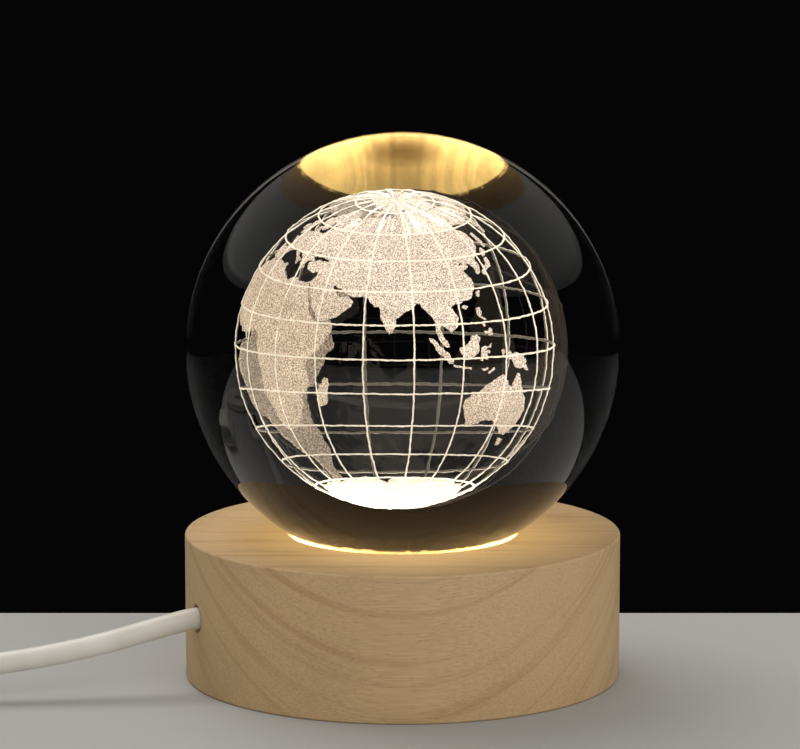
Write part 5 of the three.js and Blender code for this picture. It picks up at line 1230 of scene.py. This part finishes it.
# Strap: a loop of smooth plastic tape, stuck into a ring. It goes round all the turns of the coil
# and keeps the spare lead together.
STRAP_LOW, STRAP_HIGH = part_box("coil_strap")
STRAP_THICKNESS = 0.5 * MM
STRAP_CORNER = 2.3 * MM
STRAP_EDGE = 0.12 * MM
TAPE_GRAIN = 0.25 * MM
STRAP_PALE = "#DEDBD1"
STRAP_SHADE = "#CFCBBF"


def tape_loop():
    """The loop, standing round the coil: a flat eased tape bent round with rounded corners."""
    middle = (STRAP_LOW + STRAP_HIGH) / 2
    size = STRAP_HIGH - STRAP_LOW
    loop = rounded_slab("strap", size.z, size.x, -size.y / 2, size.y / 2, STRAP_CORNER,
                        STRAP_EDGE, STRAP_EDGE, SMOOTH_STEPS)
    room = rounded_slab("room", size.z - 2 * STRAP_THICKNESS, size.x - 2 * STRAP_THICKNESS,
                        -size.y, size.y, STRAP_CORNER - STRAP_THICKNESS, steps=SMOOTH_STEPS)
    cut_away(loop, room)
    return moved(moved(loop, turn=math.pi / 2), *middle, math.pi / 2, "X")


coil_tape = tape_loop()
coil_tape.data.materials.append(moulded("strap_tape_smooth", STRAP_PALE, STRAP_SHADE, 0.6, TAPE_GRAIN))
place_piece(coil_tape, "base", "strap", "coil_strap")

# Plug: a flat low-voltage plug. A stamped steel shell holds a white tongue with four gilt contacts,
# and soft PVC is moulded round its rear and the lead's end, with a ribbed neck against bending.
PLUG_X, PLUG_Y, PLUG_MIDDLE = -102.0 * MM, 22.01 * MM, 4.0 * MM
PLUG_LENGTH = 22.0 * MM
PLUG_WIDTH = 15.2 * MM
PLUG_HEIGHT = 8.0 * MM
PLUG_CORNER = 2.4 * MM
PLUG_EDGE = 0.8 * MM
GRIP_GROOVES = 4
GRIP_GROOVE = (0.8 * MM, 0.4 * MM)
GRIP_SPACING = 1.7 * MM
GRIP_START = 4.2 * MM
NECK_LENGTH = 9.0 * MM
NECK_RIBS = 6
NECK_TIP_RADIUS = 2.3 * MM
NECK_ROOT_RADIUS = 3.2 * MM
NECK_GROOVE = 0.35 * MM
NECK_RIB_ROUNDING = 0.12 * MM
BORE_RADIUS = 1.55 * MM
BORE_END = 4.3 * MM
POCKET_GAP = 0.1 * MM
POCKET_FLOOR_GAP = 0.3 * MM
SHELL_HEIGHT = 4.5 * MM
SHELL_WIDTH = 12.0 * MM
SHELL_WALL = 0.3 * MM
SHELL_CORNER = 0.6 * MM
SHELL_EDGE = 0.1 * MM
SHELL_REAR = 15.5 * MM
SHELL_FRONT = 34.0 * MM
SHELL_WINDOW_X = 28.0 * MM
SHELL_WINDOW_Y = 2.7 * MM
SHELL_WINDOW = (2.2 * MM, 2.4 * MM)
SHELL_WINDOW_CORNER = 0.25 * MM
TONGUE_LOW = 2.35 * MM
TONGUE_HIGH = 4.15 * MM
TONGUE_WIDTH = 10.8 * MM
TONGUE_SETBACK = 1.0 * MM
TONGUE_CORNER = 0.3 * MM
TONGUE_EDGES = (0.08 * MM, 0.12 * MM)
TONGUE_LAP = 0.1 * MM
TONGUE_REAR_CORNER = 0.2 * MM
CONTACT = (7.0 * MM, 1.0 * MM, 0.2 * MM)
CONTACT_CORNER = 0.2 * MM
CONTACT_EDGE = 0.06 * MM
CONTACT_SPACING = 2.3 * MM
CONTACT_COUNT = 4


def lengthwise(piece):
    """A piece made standing up along Z, laid down along X at half the plug's height."""
    return moved(piece, z=PLUG_MIDDLE, turn=math.pi / 2, axis="Y")


def ribbed_neck():
    """The neck, turned from its tapering profile with a groove between each two ribs."""
    profile = [(0, -NECK_LENGTH)]
    pitch = NECK_LENGTH / NECK_RIBS
    for rib in range(NECK_RIBS):
        for share, cut in ((0.05, NECK_RIB_ROUNDING), (0.15, 0), (0.6, 0),
                           (0.68, NECK_GROOVE), (0.92, NECK_GROOVE)):
            along = (rib + share) / NECK_RIBS
            radius = NECK_TIP_RADIUS + (NECK_ROOT_RADIUS - NECK_TIP_RADIUS) * along - cut
            profile.append((radius, (rib + share) * pitch - NECK_LENGTH))
    profile += [(NECK_ROOT_RADIUS, 0), (NECK_ROOT_RADIUS, PLUG_EDGE), (0, PLUG_EDGE)]
    return lengthwise(turned("neck", profile, ROUND_SIDES))


def plug_moulding():
    """The soft moulding: a rounded block with a pocket for the shell, and the ribbed neck."""
    block = rounded_slab("block", PLUG_LENGTH, PLUG_WIDTH, 0, PLUG_HEIGHT, PLUG_CORNER,
                         PLUG_EDGE, PLUG_EDGE, SMOOTH_STEPS)
    moved(block, PLUG_LENGTH / 2)
    pocket = lengthwise(rounded_slab("pocket", SHELL_HEIGHT + 2 * POCKET_GAP, SHELL_WIDTH + 2 * POCKET_GAP,
                                     SHELL_REAR - POCKET_FLOOR_GAP, SHELL_FRONT, SHELL_CORNER + POCKET_GAP))
    width, depth = GRIP_GROOVE
    grooves = [moved(rounded_slab("groove", width, 2 * depth, -MM, PLUG_HEIGHT + MM, width / 2.1),
                     GRIP_START + GRIP_SPACING * k, side * PLUG_WIDTH / 2)
               for k in range(GRIP_GROOVES) for side in (-1, 1)]
    cut_away(block, pocket, *grooves)
    neck = ribbed_neck()
    for part in (block, neck):
        cut_away(part, lengthwise(drill(BORE_RADIUS, -2 * NECK_LENGTH, BORE_END)))
        part.data.materials.append(lead_pvc)
    return joined("plug_moulding", block, neck)


def plug_shell():
    """The shell: a rounded rectangular tube with two square windows above and two below."""
    shell = lengthwise(rounded_slab("plug_shell", SHELL_HEIGHT, SHELL_WIDTH, SHELL_REAR, SHELL_FRONT,
                                    SHELL_CORNER, 0, SHELL_EDGE))
    room = lengthwise(rounded_slab("room", SHELL_HEIGHT - 2 * SHELL_WALL, SHELL_WIDTH - 2 * SHELL_WALL,
                                   SHELL_REAR - MM, SHELL_FRONT + MM, SHELL_CORNER - SHELL_WALL))
    windows = [moved(rounded_slab("window", *SHELL_WINDOW, -MM, PLUG_HEIGHT + MM, SHELL_WINDOW_CORNER),
                     SHELL_WINDOW_X, side * SHELL_WINDOW_Y) for side in (-1, 1)]
    cut_away(shell, room, *windows)
    shell.data.materials.append(zinc_steel)
    return shell


def plug_tongue():
    """The white insulator: a block at the rear that carries a flat tongue."""
    front = SHELL_FRONT - TONGUE_SETBACK
    tongue = rounded_slab("tongue_bar", front - SHELL_REAR, TONGUE_WIDTH, TONGUE_LOW, TONGUE_HIGH,
                          TONGUE_CORNER, *TONGUE_EDGES)
    moved(tongue, (front + SHELL_REAR) / 2)
    rear = rounded_slab("tongue_rear", PLUG_LENGTH - SHELL_REAR, TONGUE_WIDTH, TONGUE_HIGH - TONGUE_LAP,
                        2 * PLUG_MIDDLE - TONGUE_LOW, TONGUE_REAR_CORNER)
    moved(rear, (PLUG_LENGTH + SHELL_REAR) / 2)
    for part in (tongue, rear):
        part.data.materials.append(nylon)
    return joined("plug_tongue", tongue, rear)


for piece, slot, node in ((plug_moulding(), "lead", "plug_overmould"),
                          (plug_shell(), "steel", "usb_shell"), (plug_tongue(), "nylon", "usb_tongue")):
    place_piece(moved(piece, PLUG_X, PLUG_Y), "base", slot, node)
for number in range(CONTACT_COUNT):
    length, width, thickness = CONTACT
    strip = rounded_slab(f"gilt_contact_{number + 1}", length, width, TONGUE_HIGH, TONGUE_HIGH + thickness,
                         CONTACT_CORNER, 0, CONTACT_EDGE)
    strip.data.materials.append(brass)
    along = SHELL_FRONT - 2 * TONGUE_SETBACK - length / 2
    across = (number - (CONTACT_COUNT - 1) / 2) * CONTACT_SPACING
    place_piece(moved(strip, PLUG_X + along, PLUG_Y + across), "base", "brass", f"usb_contact_{number + 1}")

# Studio: a pale table that ends a little behind the lamp, and a plain dark backdrop beyond it. One
# soft lamp hangs above and behind, one stands in front to the right, and neither shows in glass.
TABLE_GREY = "#B0AEA9"
TABLE_EDGE = 37.0 * MM
TABLE_REACH = 3.0
BACKDROP = "#050506"
AMBIENT = 0.46
LIT_POINT = Vector((0, 0, 30)) * MM

table = solid_piece("table", [(-TABLE_REACH, -TABLE_REACH, 0), (TABLE_REACH, -TABLE_REACH, 0),
                              (TABLE_REACH, TABLE_EDGE, 0), (-TABLE_REACH, TABLE_EDGE, 0)], [(0, 1, 2, 3)])
table_matt, table_tree = start_finish("table_matt")
matt = add(table_tree, "BsdfPrincipled", {"Base Color": TABLE_GREY, "Roughness": 0.85})
add(table_tree, "OutputMaterial", [matt])
table.data.materials.append(table_matt)

world = bpy.data.worlds.new("studio")
world.use_nodes = True
bpy.context.scene.world = world
sky = world.node_tree
sky.nodes.clear()
path = add(sky, "LightPath")
seen = path.outputs["Is Camera Ray"]
for ray in ("Is Glossy Ray", "Is Transmission Ray"):
    seen = add(sky, "Math", [seen, path.outputs[ray]], operation="MAXIMUM")
ambient = add(sky, "Background", ["#FFFFFF", AMBIENT])
backdrop = add(sky, "Background", [BACKDROP, 1.0])
add(sky, "OutputWorld", [add(sky, "MixShader", [seen, ambient, backdrop])])


def softbox(name, place, size, power):
    """A square soft lamp that points at the middle of the lamp."""
    light = bpy.data.lights.new(name, "AREA")
    light.size = size
    light.energy = power
    lamp = bpy.data.objects.new(name, light)
    lamp.location = place
    lamp.rotation_euler = (LIT_POINT - Vector(place)).to_track_quat("-Z", "Y").to_euler()
    lamp.visible_transmission = False
    lamp.light_linking.receiver_collection = all_but_glass
    bpy.context.scene.collection.objects.link(lamp)


all_but_glass = bpy.data.collections.new("all_but_glass")
all_but_glass.objects.link(glass_ball)
all_but_glass.collection_objects[0].light_linking.link_state = "EXCLUDE"
softbox("softbox_above", place=(-0.25, 0.35, 0.9), size=0.6, power=4.3)
softbox("softbox_front", place=(0.5, -0.9, 0.6), size=0.8, power=4.2)

bpy.context.scene.view_settings.view_transform = "Standard"
